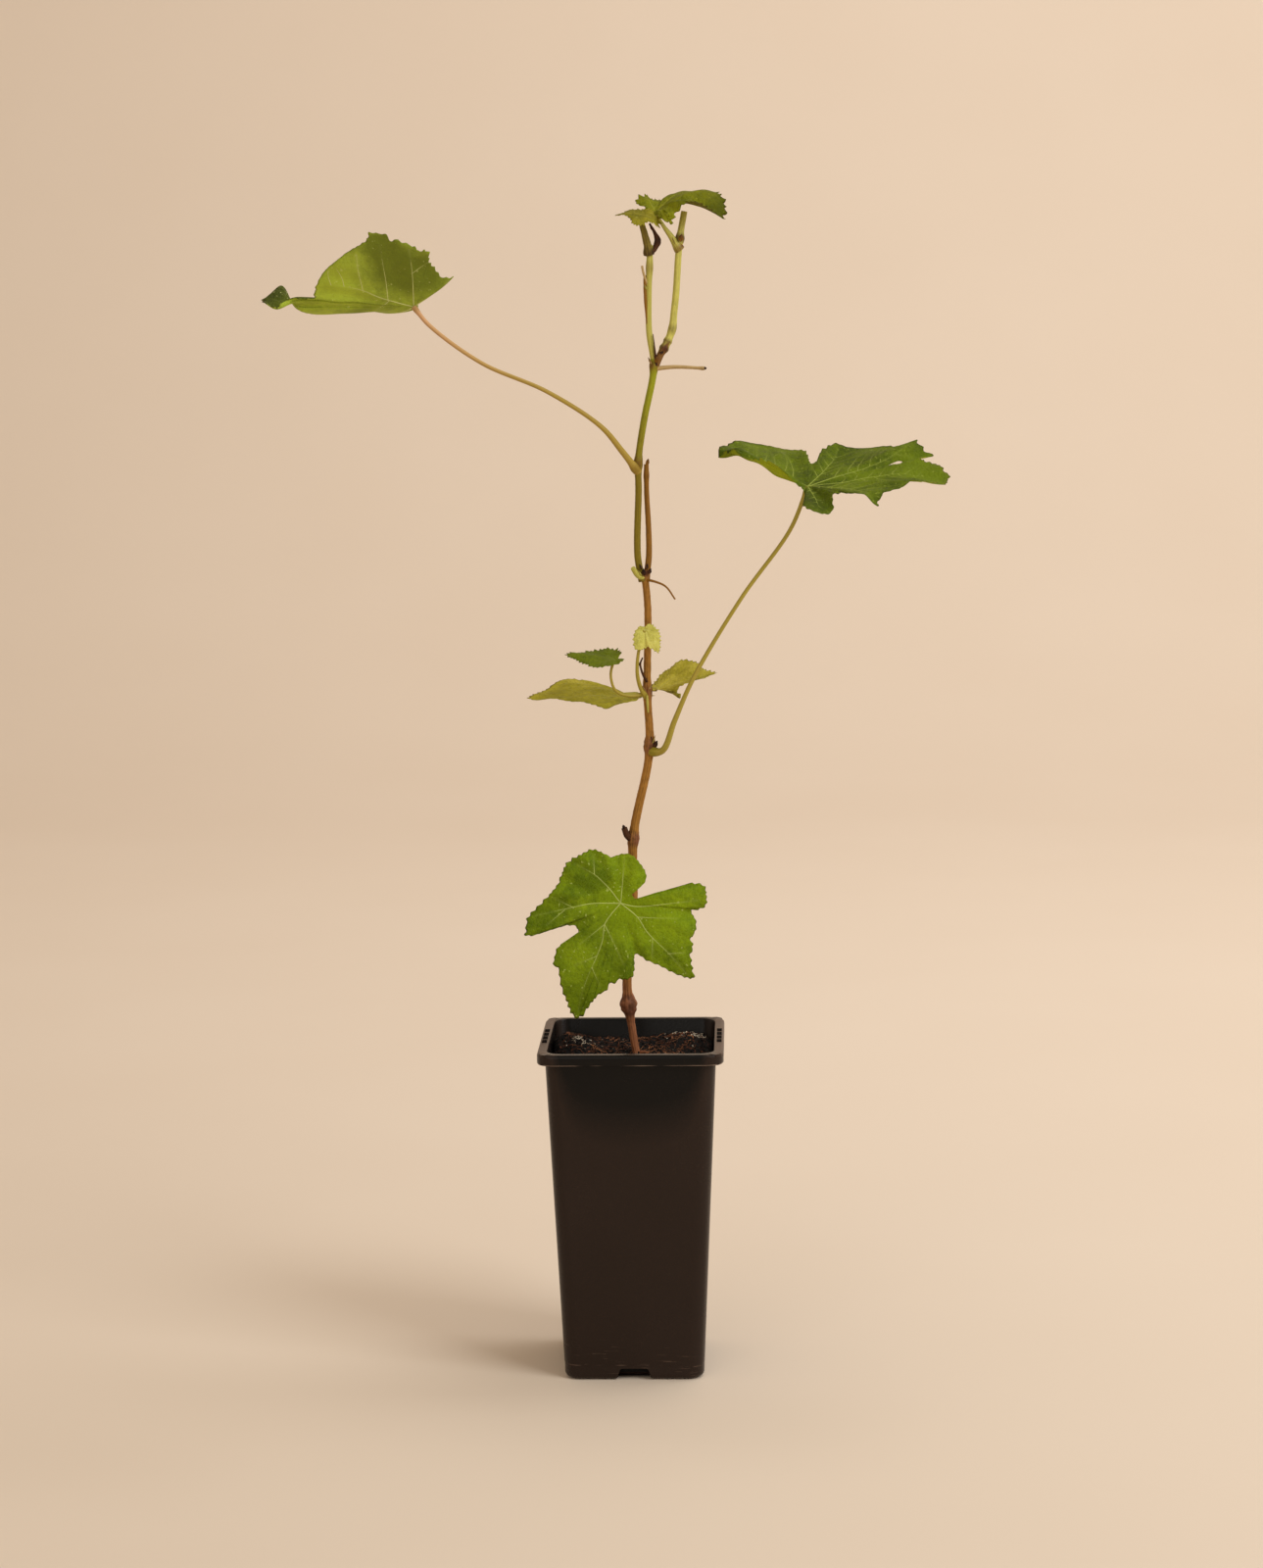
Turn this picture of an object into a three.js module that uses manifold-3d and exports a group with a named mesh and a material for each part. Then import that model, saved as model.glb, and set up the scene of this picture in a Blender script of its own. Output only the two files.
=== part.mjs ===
// A young grapevine in a tall square nursery pot.
// Millimetres, +Z up. The origin is the middle of the pot's flat underside, and -Y is the front.

import * as THREE from 'three';
import { mergeVertices } from 'three/addons/utils/BufferGeometryUtils.js';
import Module from 'manifold-3d';

const wasm = await Module();
wasm.setup();

// ---------------------------------------------------------------- driving dimensions

const degrees = Math.PI / 180;
const mix = (a, b, share) => a + (b - a) * share;

const gap = 0.3; // air left between pieces that touch

const potHeight = 219;
const rimWidth = 120;
const rimBand = 7; // height of the folded rim
const bodyTopWidth = 110;
const bodyFootWidth = 91;
const wall = 1.6;
const floorThickness = 2.2;
const cornerShare = 0.2; // corner radius as a share of the half width
const notchTop = 18.5;
const notchFoot = 23;
const notchHeight = 7.5;
const notchDepth = 13;
const drainRadius = 4.5;
const drainOffset = 21;

const soilTop = 205; // soil surface, a little below the rim
const bladeThickness = 1.2;
const knotReach = 7; // length of limb that a knot swells, to each side of it

// Limbs. A path is [x, y, z] points; radius goes from foot to tip; a knot swells the limb at one
// share of its length. Each limb is cut clear of the older limbs named in `from`.
const limbs = {
  trunk: {
    path: [[4, 14, soilTop - 8], [2, 14, soilTop], [-4, 13, 235], [-3, 12, 254], [1, 10, 307], [2, 8, 351],
      [13, 5, 406], [12, 7, 446], [13, 6, 500], [11, 6, 524]],
    radius: [3.3, 2.3], knots: [[0, 0.6], [0.1, 2.4], [0.46, 0.9], [0.63, 1.1], [0.76, 0.6], [1, 0.9]],
    colour: 0x8a6240, sides: 10, steps: 34,
  },
  main_shoot: {
    path: [[10, 6, 519], [7, 5, 532], [8, 4, 576], [8, 4, 594], [12, 4, 620], [18, 5, 648], [19, 5, 657]],
    radius: [2.2, 2.2], knots: [[0.54, 0.8], [1, 0.7]], from: ['trunk'],
    colour: 0x8f8f3c, sides: 8, steps: 18,
  },
  side_shoot: {
    path: [[12, 7, 520], [14, 8, 532], [14, 9, 551], [13, 10, 574], [13, 10, 592]],
    radius: [2.1, 1.5], from: ['trunk', 'main_shoot'], colour: 0x8a6a40, sides: 8, steps: 10,
  },
  left_shoot: {
    path: [[19, 5, 654], [18, 5, 662], [16, 4, 676], [16, 3, 700], [17, 3, 726], [17, 2, 731]],
    radius: [2, 1.9], knots: [[0.85, 0.4]], from: ['main_shoot'], colour: 0x9aa23c, sides: 8, steps: 12,
  },
  right_shoot: {
    path: [[19, 5, 655], [22, 5, 662], [27, 6, 673], [31, 7, 688], [33, 7, 700], [36, 8, 735], [39, 9, 752]],
    radius: [2.3, 2], knots: [[0.1, 0.4], [0.8, 0.6]], from: ['main_shoot', 'left_shoot'],
    colour: 0x9aa23c, sides: 8, steps: 14,
  },
};

// Leaf stalks, each from its knot to the blade named in `to`.
const petioles = {
  petiole_front: { path: [[0, 10, 292], [-3, -4, 300], [-6, -26, 313], [-6, -43, 315]],
    radius: [1.8, 1.3], from: ['trunk'], to: 'leaf_front', steps: 8 },
  petiole_right: { path: [[13, 5, 406], [22, -2, 408], [30, -8, 428], [43, -12, 457], [74, -16, 508],
    [105, -18, 551], [116, -18, 578]],
    radius: [1.9, 1.3], from: ['trunk'], to: 'leaf_right', steps: 18 },
  petiole_left: { path: [[8, 4, 587], [-2, -4, 601], [-15, -10, 617], [-49, -20, 640], [-89, -24, 658],
    [-122, -22, 682], [-132, -20, 694]],
    radius: [2.3, 1.3], from: ['main_shoot'], to: 'leaf_left', steps: 18 },
  petiole_top: { path: [[35, 8, 726], [32, 6, 729], [30, 4, 733], [26, 2, 740], [21, 0, 750]],
    radius: [1.7, 1], from: ['right_shoot'], to: 'leaf_top', steps: 8, sides: 6 },
  petiole_tip: { path: [[16, 3, 728], [13, 1, 733], [11, -1, 739], [12, -4, 744], [14, -8, 749]],
    radius: [1.9, 1], from: ['left_shoot'], to: 'leaf_tip', steps: 8, sides: 6 },
  petiole_young: { path: [[12, 7, 441], [8, 2, 448], [6, -2, 458], [7, -4, 472], [11, -4, 486]],
    radius: [1.5, 0.9], from: ['trunk'], to: 'leaf_young', steps: 8, sides: 6 },
  petiole_upper_left: { path: [[12, 7, 444], [1, 2, 443], [-8, -3, 447], [-11, -6, 457], [-9, -6, 467.5]],
    radius: [1.1, 0.8], from: ['trunk', 'petiole_young'], to: 'leaf_upper_left', steps: 8, sides: 6 },
  petiole_lower_left: { path: [[12, 7, 446], [8, 14, 443], [2, 16, 441]],
    radius: [1.3, 0.9], from: ['trunk'], to: 'leaf_lower_left', steps: 4, sides: 6 },
  petiole_lower_right: { path: [[12, 7, 448], [15, 12, 446], [18, 13, 446]],
    radius: [1.2, 0.9], from: ['trunk', 'petiole_lower_left'], to: 'leaf_lower_right', steps: 4, sides: 6 },
};

// Dry and cut remains along the stems.
const stubs = {
  pruning_stub: { path: [[2, 8, 348], [-2, 6, 351], [-4, 5, 356]], radius: [2.4, 1.9], from: ['trunk'],
    colour: 0x3a2a20, steps: 3, sides: 8 },
  cut_petiole: { path: [[11, 6, 520], [7, 2, 521], [4, -2, 526]], radius: [1.9, 1.5],
    from: ['trunk', 'main_shoot'], colour: 0x8f9a45, steps: 4, sides: 8 },
  tendril: { path: [[12, 5, 518], [18, 1, 517], [25, -2, 514], [31, -5, 506]], radius: [0.8, 0.5],
    from: ['trunk'], colour: 0x7a5a35, steps: 8, sides: 6 },
  dry_tendril: { path: [[19, 5, 653], [32, 3, 654], [51, -2, 653]], radius: [1.1, 0.8],
    from: ['main_shoot'], colour: 0xa98a55, steps: 6, sides: 6 },
  short_tendril: { path: [[16, 3, 704], [13, 1, 713], [12, 0, 718]], radius: [0.9, 0.7],
    from: ['left_shoot'], colour: 0x7d6238, steps: 4, sides: 6 },
  dead_tip: { path: [[17, 3, 727], [20, 5, 729], [22, 5, 734], [20, 4, 739], [17, 2, 744]], radius: [1.8, 0.7],
    from: ['left_shoot', 'petiole_tip'], colour: 0x4a2f22, steps: 8, sides: 6 },
};

// Leaves. The stalk meets the blade `at` a point; `tip` is the way the middle rib points and `face`
// the way the upper side looks. An outline goes round that point as [turn, reach, rise]: degrees
// towards the leaf's left, millimetres out to the margin, and millimetres that the margin stands
// above the blade's plane. `bow` is the power by which it climbs there, and `arch` domes the blade
// as a share of the reach.
const leaves = {
  leaf_front: {
    at: [-5, -44, 315], tip: [-0.37, -0.05, -0.93], face: [0.05, -1, 0.2], arch: 0.04,
    outline: [[-212, 19], [-201, 25], [-180, 29], [-164, 33], [-152, 31], [-133, 40], [-98, 43], [-75, 50],
      [-57, 63], [-49, 61], [-46, 37], [-38, 33], [-33, 54], [-26, 59], [-13, 69], [0, 79], [8, 60], [20, 49],
      [31, 47], [37, 32], [50, 49], [63, 66], [79, 54], [104, 46], [112, 55], [121, 51], [125, 34], [128, 5]],
  },
  leaf_right: {
    at: [116, -18, 578], tip: [1, 0, 0], face: [0, 0, 1], arch: 0.02, bow: 1.15,
    outline: [[-150, 8, -1], [-101, 12, -7], [-97, 28, -10], [-90, 36, -12], [-78, 39, -15], [-67, 38, -13],
      [-58, 30, -5], [-52, 36, 0], [-49, 50, -1], [-46, 61, -7], [-38, 59, -1], [-31, 66, 0], [-21, 71, 5],
      [-11, 82, 2], [4, 91, 5], [9, 87, 10], [18, 78, 15], [22, 86, 16], [27, 84, 23], [33, 84, 27],
      [45, 71, 23], [62, 59, 21], [70, 57, 25], [76, 47, 22], [79, 28, 15], [84, 26, 15], [92, 50, 20],
      [103, 62, 22], [119, 71, 25], [127, 75, 27], [136, 72, 24], [146, 68, 16], [150, 56, 15], [153, 53, 19],
      [158, 40, 18], [174, 21, 12]],
  },
  leaf_left: {
    at: [-132, -20, 694], tip: [-1, 0, 0], face: [0, 0.74, 0.67], bow: 1.5,
    outline: [[-150, 4, 2], [-110, 6, 6], [-85, 19, 22], [-60, 33, 32], [-40, 50, 36], [-25, 60, 28],
      [-14, 66, 13], [-8, 72, 3], [-5, 79, 8], [-3, 89, 19], [-1, 95, 12], [2, 92, -8], [4, 80, -11],
      [6, 69, -4], [9, 63, -2], [14, 63], [24, 62], [39, 60], [55, 58], [66, 58], [70, 63], [79, 58],
      [83, 53], [96, 50], [106, 48], [108, 40], [123, 32], [137, 36], [143, 22, 5], [150, 10, 6]],
  },
  leaf_top: {
    at: [21, 0, 751], tip: [1, 0, 0], face: [0, 0, 1], arch: 0.17, rings: 4,
    outline: [[-150, 4], [-75, 17, -4], [-66, 25, -8], [-52, 22, -1], [-42, 25, 5], [-28, 31, 5], [-16, 35, 2],
      [0, 43, -4], [8, 45, 3], [18, 43, 12], [38, 39, 12], [52, 36, 14], [70, 27, 11], [74, 22, 8],
      [100, 15, 9], [120, 15, 12], [150, 15, 7], [170, 8, 4]],
  },
  leaf_tip: {
    at: [14, -8, 749.5], tip: [-1, 0, 0], face: [0, 0, 1], arch: 0.1, rings: 3,
    outline: [[-160, 7, 1], [-120, 8, 4], [-80, 10, 4], [-45, 13, 3.5], [-15, 15, 1.5], [0, 18.5, -0.5],
      [22, 13.5], [50, 13, -3], [62, 15, -6], [80, 14, -7], [110, 12, -5], [135, 13, -8], [160, 10.5, -3]],
  },
  leaf_upper_left: {
    at: [-9, -6, 468], tip: [-1, 0, 0], face: [0, 0, 1], arch: 0.03, rings: 3,
    outline: [[-130, 8, 3], [-95, 13, 5], [-60, 16, 5], [-30, 22, 3.5], [0, 31, 3], [10, 24.5], [30, 20, -3],
      [50, 18, -4], [75, 15.5, -3.5], [110, 11, -2], [150, 8], [180, 3]],
  },
  leaf_lower_left: {
    at: [4, 16, 441], tip: [-1, 0, 0], face: [0, 0, 1], arch: 0.03, rings: 4,
    outline: [[-125, 22, -2], [-90, 28, -1], [-62, 34, -1], [-50, 40, 1], [-47, 45, 5], [-41, 49, 8],
      [-35, 54, 8], [-25, 58, 7], [-15, 61, 4], [0, 70, -1], [8, 53, -1], [18, 39, -2], [32, 34, -3],
      [52, 30, -4.5], [62, 27, -3.5], [85, 17, -1.5], [115, 9], [160, 5]],
  },
  leaf_lower_right: {
    at: [18, 13, 446], tip: [1, 0, 0], face: [0, 0, 1], arch: 0.03, rings: 4,
    outline: [[-110, 8], [-70, 12, 0.5], [-50, 18], [-47, 23, -5], [-42, 18, 1], [-35, 22, 4], [-22, 26, 6],
      [-10, 33, 8], [5, 39, 10.5], [18, 33, 11], [32, 33, 14], [45, 33, 16], [60, 30, 16], [70, 26, 12],
      [82, 18, 7], [120, 8, 1], [170, 3]],
  },
  leaf_young: {
    at: [11, -4, 486.5], tip: [0, -0.25, -1], face: [0, -1, 0.25], arch: 0.1, rings: 3,
    outline: [[-130, 4], [-76, 6.5], [-52, 9, 1], [-26, 14, 2], [-12, 14, 1], [0, 13], [11, 10, 2], [20, 14, 1],
      [31, 17.5], [52, 13], [82, 9.5], [140, 5], [180, 2]],
  },
};

// ---------------------------------------------------------------- shared helpers

const vector = (point) => new THREE.Vector3(...point);

// Welds a geometry's seams, so that it is one closed skin.
function weld(geometry) {
  const bare = geometry.clone();
  bare.deleteAttribute('normal');
  bare.deleteAttribute('uv');
  return mergeVertices(bare, 1e-4);
}

function toSolid(geometry) {
  const skin = weld(geometry);
  return new wasm.Manifold(new wasm.Mesh({
    numProp: 3,
    vertProperties: new Float32Array(skin.attributes.position.array),
    triVerts: new Uint32Array(skin.index.array),
  }));
}

function toGeometry(solid) {
  const { vertProperties, triVerts } = solid.getMesh();
  const geometry = new THREE.BufferGeometry();
  geometry.setAttribute('position', new THREE.BufferAttribute(vertProperties, 3));
  geometry.setIndex(new THREE.BufferAttribute(triVerts, 1));
  return geometry;
}

// The largest body of a cut solid: the cut can leave a sliver past the piece that it made room for.
function largestBody(solid) {
  return solid.decompose().reduce((best, body) => (body.volume() > best.volume() ? body : best));
}

const object = new THREE.Group();

function addMesh(name, geometry, colour, roughness) {
  const material = new THREE.MeshStandardMaterial({ color: colour, roughness, metalness: 0 });
  const mesh = new THREE.Mesh(geometry, material);
  mesh.name = name;
  object.add(mesh);
}

// ---------------------------------------------------------------- pot and soil

// Turns a profile of (half width, height) points into a body whose plan is a rounded square.
function squareTurned(profile) {
  const plan = new THREE.Shape();
  const straight = 1 - cornerShare;
  for (let corner = 0; corner < 4; corner += 1) {
    const middle = (45 + 90 * corner) * degrees;
    plan.absarc(
      Math.sign(Math.cos(middle)) * straight, Math.sign(Math.sin(middle)) * straight,
      cornerShare, middle - 45 * degrees, middle + 45 * degrees, false,
    );
  }
  const outline = plan.getPoints(3);
  const points = profile.map(([halfWidth, z]) => new THREE.Vector2(halfWidth, z));
  const geometry = new THREE.LatheGeometry(points, outline.length);
  const position = geometry.attributes.position;
  for (let i = 0; i < position.count; i += 1) {
    const around = outline[Math.floor(i / points.length) % outline.length];
    const { x: halfWidth, y: z } = points[i % points.length];
    position.setXYZ(i, around.x * halfWidth, around.y * halfWidth, z);
  }
  return geometry;
}

const potHalfAt = (z) => mix(bodyFootWidth, bodyTopWidth, z / (potHeight - rimBand)) / 2;

function makePot() {
  const rimHalf = rimWidth / 2;
  const edge = 1.4; // rounding of the rim and the foot
  const footRound = 4;
  const rimFoot = potHeight - rimBand;
  const inside = (z) => potHalfAt(z) - wall;
  const shell = toSolid(squareTurned([
    [0, 0], [potHalfAt(0) - footRound, 0], [potHalfAt(0) - 0.3 * footRound, 0.3 * footRound],
    [potHalfAt(footRound), footRound], [potHalfAt(rimFoot), rimFoot],
    [rimHalf - edge, rimFoot], [rimHalf, rimFoot + edge], [rimHalf, potHeight - edge],
    [rimHalf - edge, potHeight], [inside(potHeight) + edge, potHeight],
    [inside(potHeight), potHeight - edge], [inside(footRound), footRound],
    [inside(footRound) - 2, floorThickness], [0, floorThickness],
  ]));

  const opening = new THREE.Shape([
    new THREE.Vector2(-notchFoot / 2, -1), new THREE.Vector2(notchFoot / 2, -1),
    new THREE.Vector2(notchTop / 2, notchHeight), new THREE.Vector2(-notchTop / 2, notchHeight),
  ]);
  const notch = new THREE.ExtrudeGeometry(opening, { depth: notchDepth + 1, bevelEnabled: false });
  notch.rotateX(90 * degrees);
  notch.translate(0, 1 - bodyFootWidth / 2 + notchDepth, 0);
  const drain = new THREE.CylinderGeometry(drainRadius, drainRadius, 3 * floorThickness, 16);
  drain.rotateX(90 * degrees);
  drain.translate(drainOffset, drainOffset, 0);
  let pot = shell;
  for (let side = 0; side < 4; side += 1) {
    pot = pot.subtract(toSolid(notch.clone().rotateZ(90 * side * degrees)));
    pot = pot.subtract(toSolid(drain.clone().rotateZ(90 * side * degrees)));
  }
  return toGeometry(pot);
}

function makeSoil() {
  const inset = wall + gap;
  const foot = 6; // the root ball's foot is rounded, clear of the notches' dark hollows
  return squareTurned([
    [0, floorThickness + gap], [potHalfAt(foot) - inset - 4, floorThickness + gap],
    [potHalfAt(foot) - inset, foot], [potHalfAt(soilTop) - inset, soilTop - 1.5],
    [potHalfAt(soilTop) - inset - 2, soilTop], [0, soilTop],
  ]);
}

// ---------------------------------------------------------------- limbs

// Wraps an upright cylinder round a path, `grow` wider and longer than the limb itself.
function limbGeometry({ path, radius, knots = [], sides = 8, steps = 12 }, grow = 0) {
  const curve = new THREE.CatmullRomCurve3(path.map(vector), false, 'centripetal');
  const geometry = new THREE.CylinderGeometry(1, 1, 1, sides, steps);
  const position = geometry.attributes.position;
  const knotSpan = knotReach / curve.getLength();
  for (let i = 0; i < position.count; i += 1) {
    const share = position.getY(i) + 0.5;
    const along = curve.getTangentAt(share);
    const across = new THREE.Vector3(0, -1, 0).cross(along).normalize();
    const forward = across.clone().cross(along);
    let girth = mix(radius[0], radius[1], share) + grow;
    for (const [place, swell] of knots) {
      girth += swell * Math.exp(-(((share - place) / knotSpan) ** 2));
    }
    const point = curve.getPointAt(share)
      .addScaledVector(across, position.getX(i) * girth)
      .addScaledVector(forward, position.getZ(i) * girth)
      .addScaledVector(along, 2 * (share - 0.5) * grow);
    position.setXYZ(i, point.x, point.y, point.z);
  }
  return geometry;
}

// ---------------------------------------------------------------- leaves

// A point of the blade's middle surface, in the leaf's own frame: a share of the way from the stalk
// to one corner of the outline.
function bladePoint({ outline, arch = 0, bow = 1.3 }, corner, share) {
  const [turn, reach, rise = 0] = outline[(corner + outline.length) % outline.length];
  return new THREE.Vector3(
    share * reach * Math.cos(turn * degrees),
    share * reach * Math.sin(turn * degrees),
    rise * share ** bow + 4 * arch * reach * share * (1 - share),
  );
}

// Flattens a ball on to the blade: its meridians run out to the outline's corners, its top half is
// the upper skin and its equator the margin.
function leafGeometry(leaf, thickness = bladeThickness) {
  const corners = leaf.outline.length;
  const nudge = 0.01; // share of a spoke over which its direction is taken
  const geometry = new THREE.SphereGeometry(1, corners, 2 * (leaf.rings ?? 5));
  const position = geometry.attributes.position;
  const uv = geometry.attributes.uv;
  for (let i = 0; i < position.count; i += 1) {
    const corner = i % (corners + 1) % corners;
    const side = uv.getY(i) > 0.5 ? 1 : -1;
    const share = Math.min(1, 2 * Math.min(uv.getY(i), 1 - uv.getY(i)));
    const point = bladePoint(leaf, corner, share);
    const normal = bladePoint(leaf, corner, share + nudge).sub(point)
      .cross(bladePoint(leaf, corner + 1, share).sub(bladePoint(leaf, corner - 1, share))).normalize();
    if (share < nudge) normal.set(0, 0, 1);
    point.addScaledVector(normal, side * thickness / 2 * (1 - share ** 4));
    position.setXYZ(i, point.x, point.y, point.z);
  }
  const tip = vector(leaf.tip).normalize();
  const face = vector(leaf.face).addScaledVector(tip, -vector(leaf.face).dot(tip)).normalize();
  const left = face.clone().cross(tip);
  geometry.applyMatrix4(new THREE.Matrix4().makeBasis(tip, left, face).setPosition(...leaf.at));
  return geometry;
}

// ---------------------------------------------------------------- assembly

addMesh('pot', makePot(), 0x2a2422, 0.45);
addMesh('soil', makeSoil(), 0x2b1d16, 0.95);

const allLimbs = { ...limbs, ...petioles, ...stubs };
for (const [name, limb] of Object.entries(allLimbs)) {
  let solid = toSolid(limbGeometry(limb));
  for (const older of limb.from ?? []) {
    solid = solid.subtract(toSolid(limbGeometry(allLimbs[older], gap)));
  }
  if (limb.to) {
    solid = solid.subtract(toSolid(leafGeometry(leaves[limb.to], bladeThickness + 2 * gap)));
  }
  solid = solid.trimByPlane([0, 0, 1], soilTop + gap); // a limb that starts in the soil is cut flat there
  addMesh(name, toGeometry(largestBody(solid)), limb.colour ?? 0x9a8a3c, 0.6);
}

for (const [name, leaf] of Object.entries(leaves)) {
  addMesh(name, leafGeometry(leaf), 0x4c7a24, 0.55);
}

export default object;
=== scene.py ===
# %% [markdown]
# # A young grapevine in a square pot
# This lesson builds the looks of a potted grapevine round its solid model.
# The solid model says where every stem, leaf and pot wall is. Here each of them
# gets the relief and the finish of the living thing: bark, veins, teeth, peat, plastic.

# %% Load the solid model
import math

import bmesh
import bpy
import numpy as np
from mathutils import Matrix, Vector, noise


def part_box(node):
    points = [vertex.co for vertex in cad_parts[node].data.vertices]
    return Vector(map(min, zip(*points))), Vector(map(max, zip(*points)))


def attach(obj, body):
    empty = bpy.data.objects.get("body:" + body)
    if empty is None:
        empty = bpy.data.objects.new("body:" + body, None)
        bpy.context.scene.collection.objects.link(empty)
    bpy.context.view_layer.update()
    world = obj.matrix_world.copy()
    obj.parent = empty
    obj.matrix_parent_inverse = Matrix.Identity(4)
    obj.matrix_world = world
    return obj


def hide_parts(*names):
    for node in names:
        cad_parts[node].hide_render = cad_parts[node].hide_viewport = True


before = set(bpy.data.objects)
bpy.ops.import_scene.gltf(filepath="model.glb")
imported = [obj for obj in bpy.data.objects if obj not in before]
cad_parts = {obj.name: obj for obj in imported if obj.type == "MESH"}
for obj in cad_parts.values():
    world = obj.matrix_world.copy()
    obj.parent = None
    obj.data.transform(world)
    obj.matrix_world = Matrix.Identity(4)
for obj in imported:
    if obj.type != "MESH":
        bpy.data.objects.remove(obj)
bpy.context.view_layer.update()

mm = 0.001

# %% [markdown]
# ## The view
# The camera stands a little over two metres away at the height of the upper leaves, and
# looks slightly down, so the rim of the pot shows its far side and the floor fills the
# foot of the view. Its three directions are worked out from two angles and a small roll.

# %% Camera
def add_object(name, data):
    """Puts new data into the scene as an object."""
    added = bpy.data.objects.new(name, data)
    bpy.context.scene.collection.objects.link(added)
    return added


camera = add_object("camera", bpy.data.cameras.new("camera"))
bpy.context.scene.camera = camera
camera.data.lens = 76.5
around, above, roll = math.radians(2.0), math.radians(7.98), math.radians(-0.7)
back = Vector((math.sin(around) * math.cos(above), -math.cos(around) * math.cos(above), math.sin(above)))
level = Vector((math.cos(around), math.sin(around), 0))
right = level * math.cos(roll) + back.cross(level) * math.sin(roll)
camera.matrix_world = Matrix((right, back.cross(right), back)).transposed().to_4x4()
camera.location = (0.0748, -2.1407, 0.686)
camera.data.shift_x = 0.00125
print("camera at", tuple(camera.location))

# %% [markdown]
# ## Light and backdrop
# Plants are shown well by one large soft light from the front and the right, which leaves
# a faint shadow on the left. A weaker lamp on the left and an even fill soften it, and a
# high lamp lights the wall. The floor is a sheet of pale card that curves up behind the
# pot, so no line shows where floor and wall meet.

# %% Lights
plant_middle = (0, 0, 0.35)
wall_middle = (1.4, 2.6, 2.2)


def soft_light(name, place, target, size, power, tint):
    """Hangs a square lamp at a place and turns it to its target."""
    lamp = add_object(name, bpy.data.lights.new(name, "AREA"))
    lamp.data.size = size
    lamp.data.energy = power
    lamp.data.color = tint
    lamp.location = place
    lamp.rotation_euler = (Vector(target) - lamp.location).to_track_quat("-Z", "Y").to_euler()


soft_light("key_light", (1.95, -1.45, 1.95), plant_middle, 1.35, 44, (0.92, 0.99, 1.05))
soft_light("front_light", (-0.9, -2.6, 1.3), plant_middle, 1.8, 10, (1.0, 0.97, 0.93))
soft_light("wall_light", (1.2, 0.6, 3.4), wall_middle, 2.0, 90, (0.96, 1.0, 1.06))
world = bpy.data.worlds.new("studio")
bpy.context.scene.world = world
world.use_nodes = True
fill = world.node_tree.nodes["Background"].inputs
fill["Color"].default_value = (1.0, 0.86, 0.71, 1)
fill["Strength"].default_value = 0.54
bpy.context.scene.view_settings.view_transform = "Standard"

# %% [markdown]
# ## Finishes
# A finish is a small network of nodes. To keep it readable, one class wraps a node's
# output so that plain sums such as `1 - mask * 0.5` add the Math nodes by themselves.
# The reflected forms let a number stand on the left.

# %% Shader sums
class Value:
    """The output of a node, which takes part in plain sums."""

    def __init__(self, finish, output):
        self.finish = finish
        self.output = output

    def maths(self, operation, *others):
        return self.finish.sum(operation, self, *others)

    def __add__(self, other):
        return self.maths("ADD", other)

    def __sub__(self, other):
        return self.maths("SUBTRACT", other)

    def __rsub__(self, other):
        return self.finish.sum("SUBTRACT", other, self)

    def __mul__(self, other):
        return self.maths("MULTIPLY", other)

    __radd__ = __add__
    __rmul__ = __mul__

    def ramp(self, low, high, start=0.0, end=1.0):
        """Maps low..high to start..end and holds it there."""
        return self.finish.add("ShaderNodeMapRange", {"clamp": True},
                               {0: self, 1: low, 2: high, 3: start, 4: end})


print("plain sums add Math nodes")

# %% [markdown]
# A second class holds a material, and adds any other node from its type, its settings
# and the values of its sockets. Colours are laid over each other like coats of paint,
# each through a mask, because a Math node would turn them grey.

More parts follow.
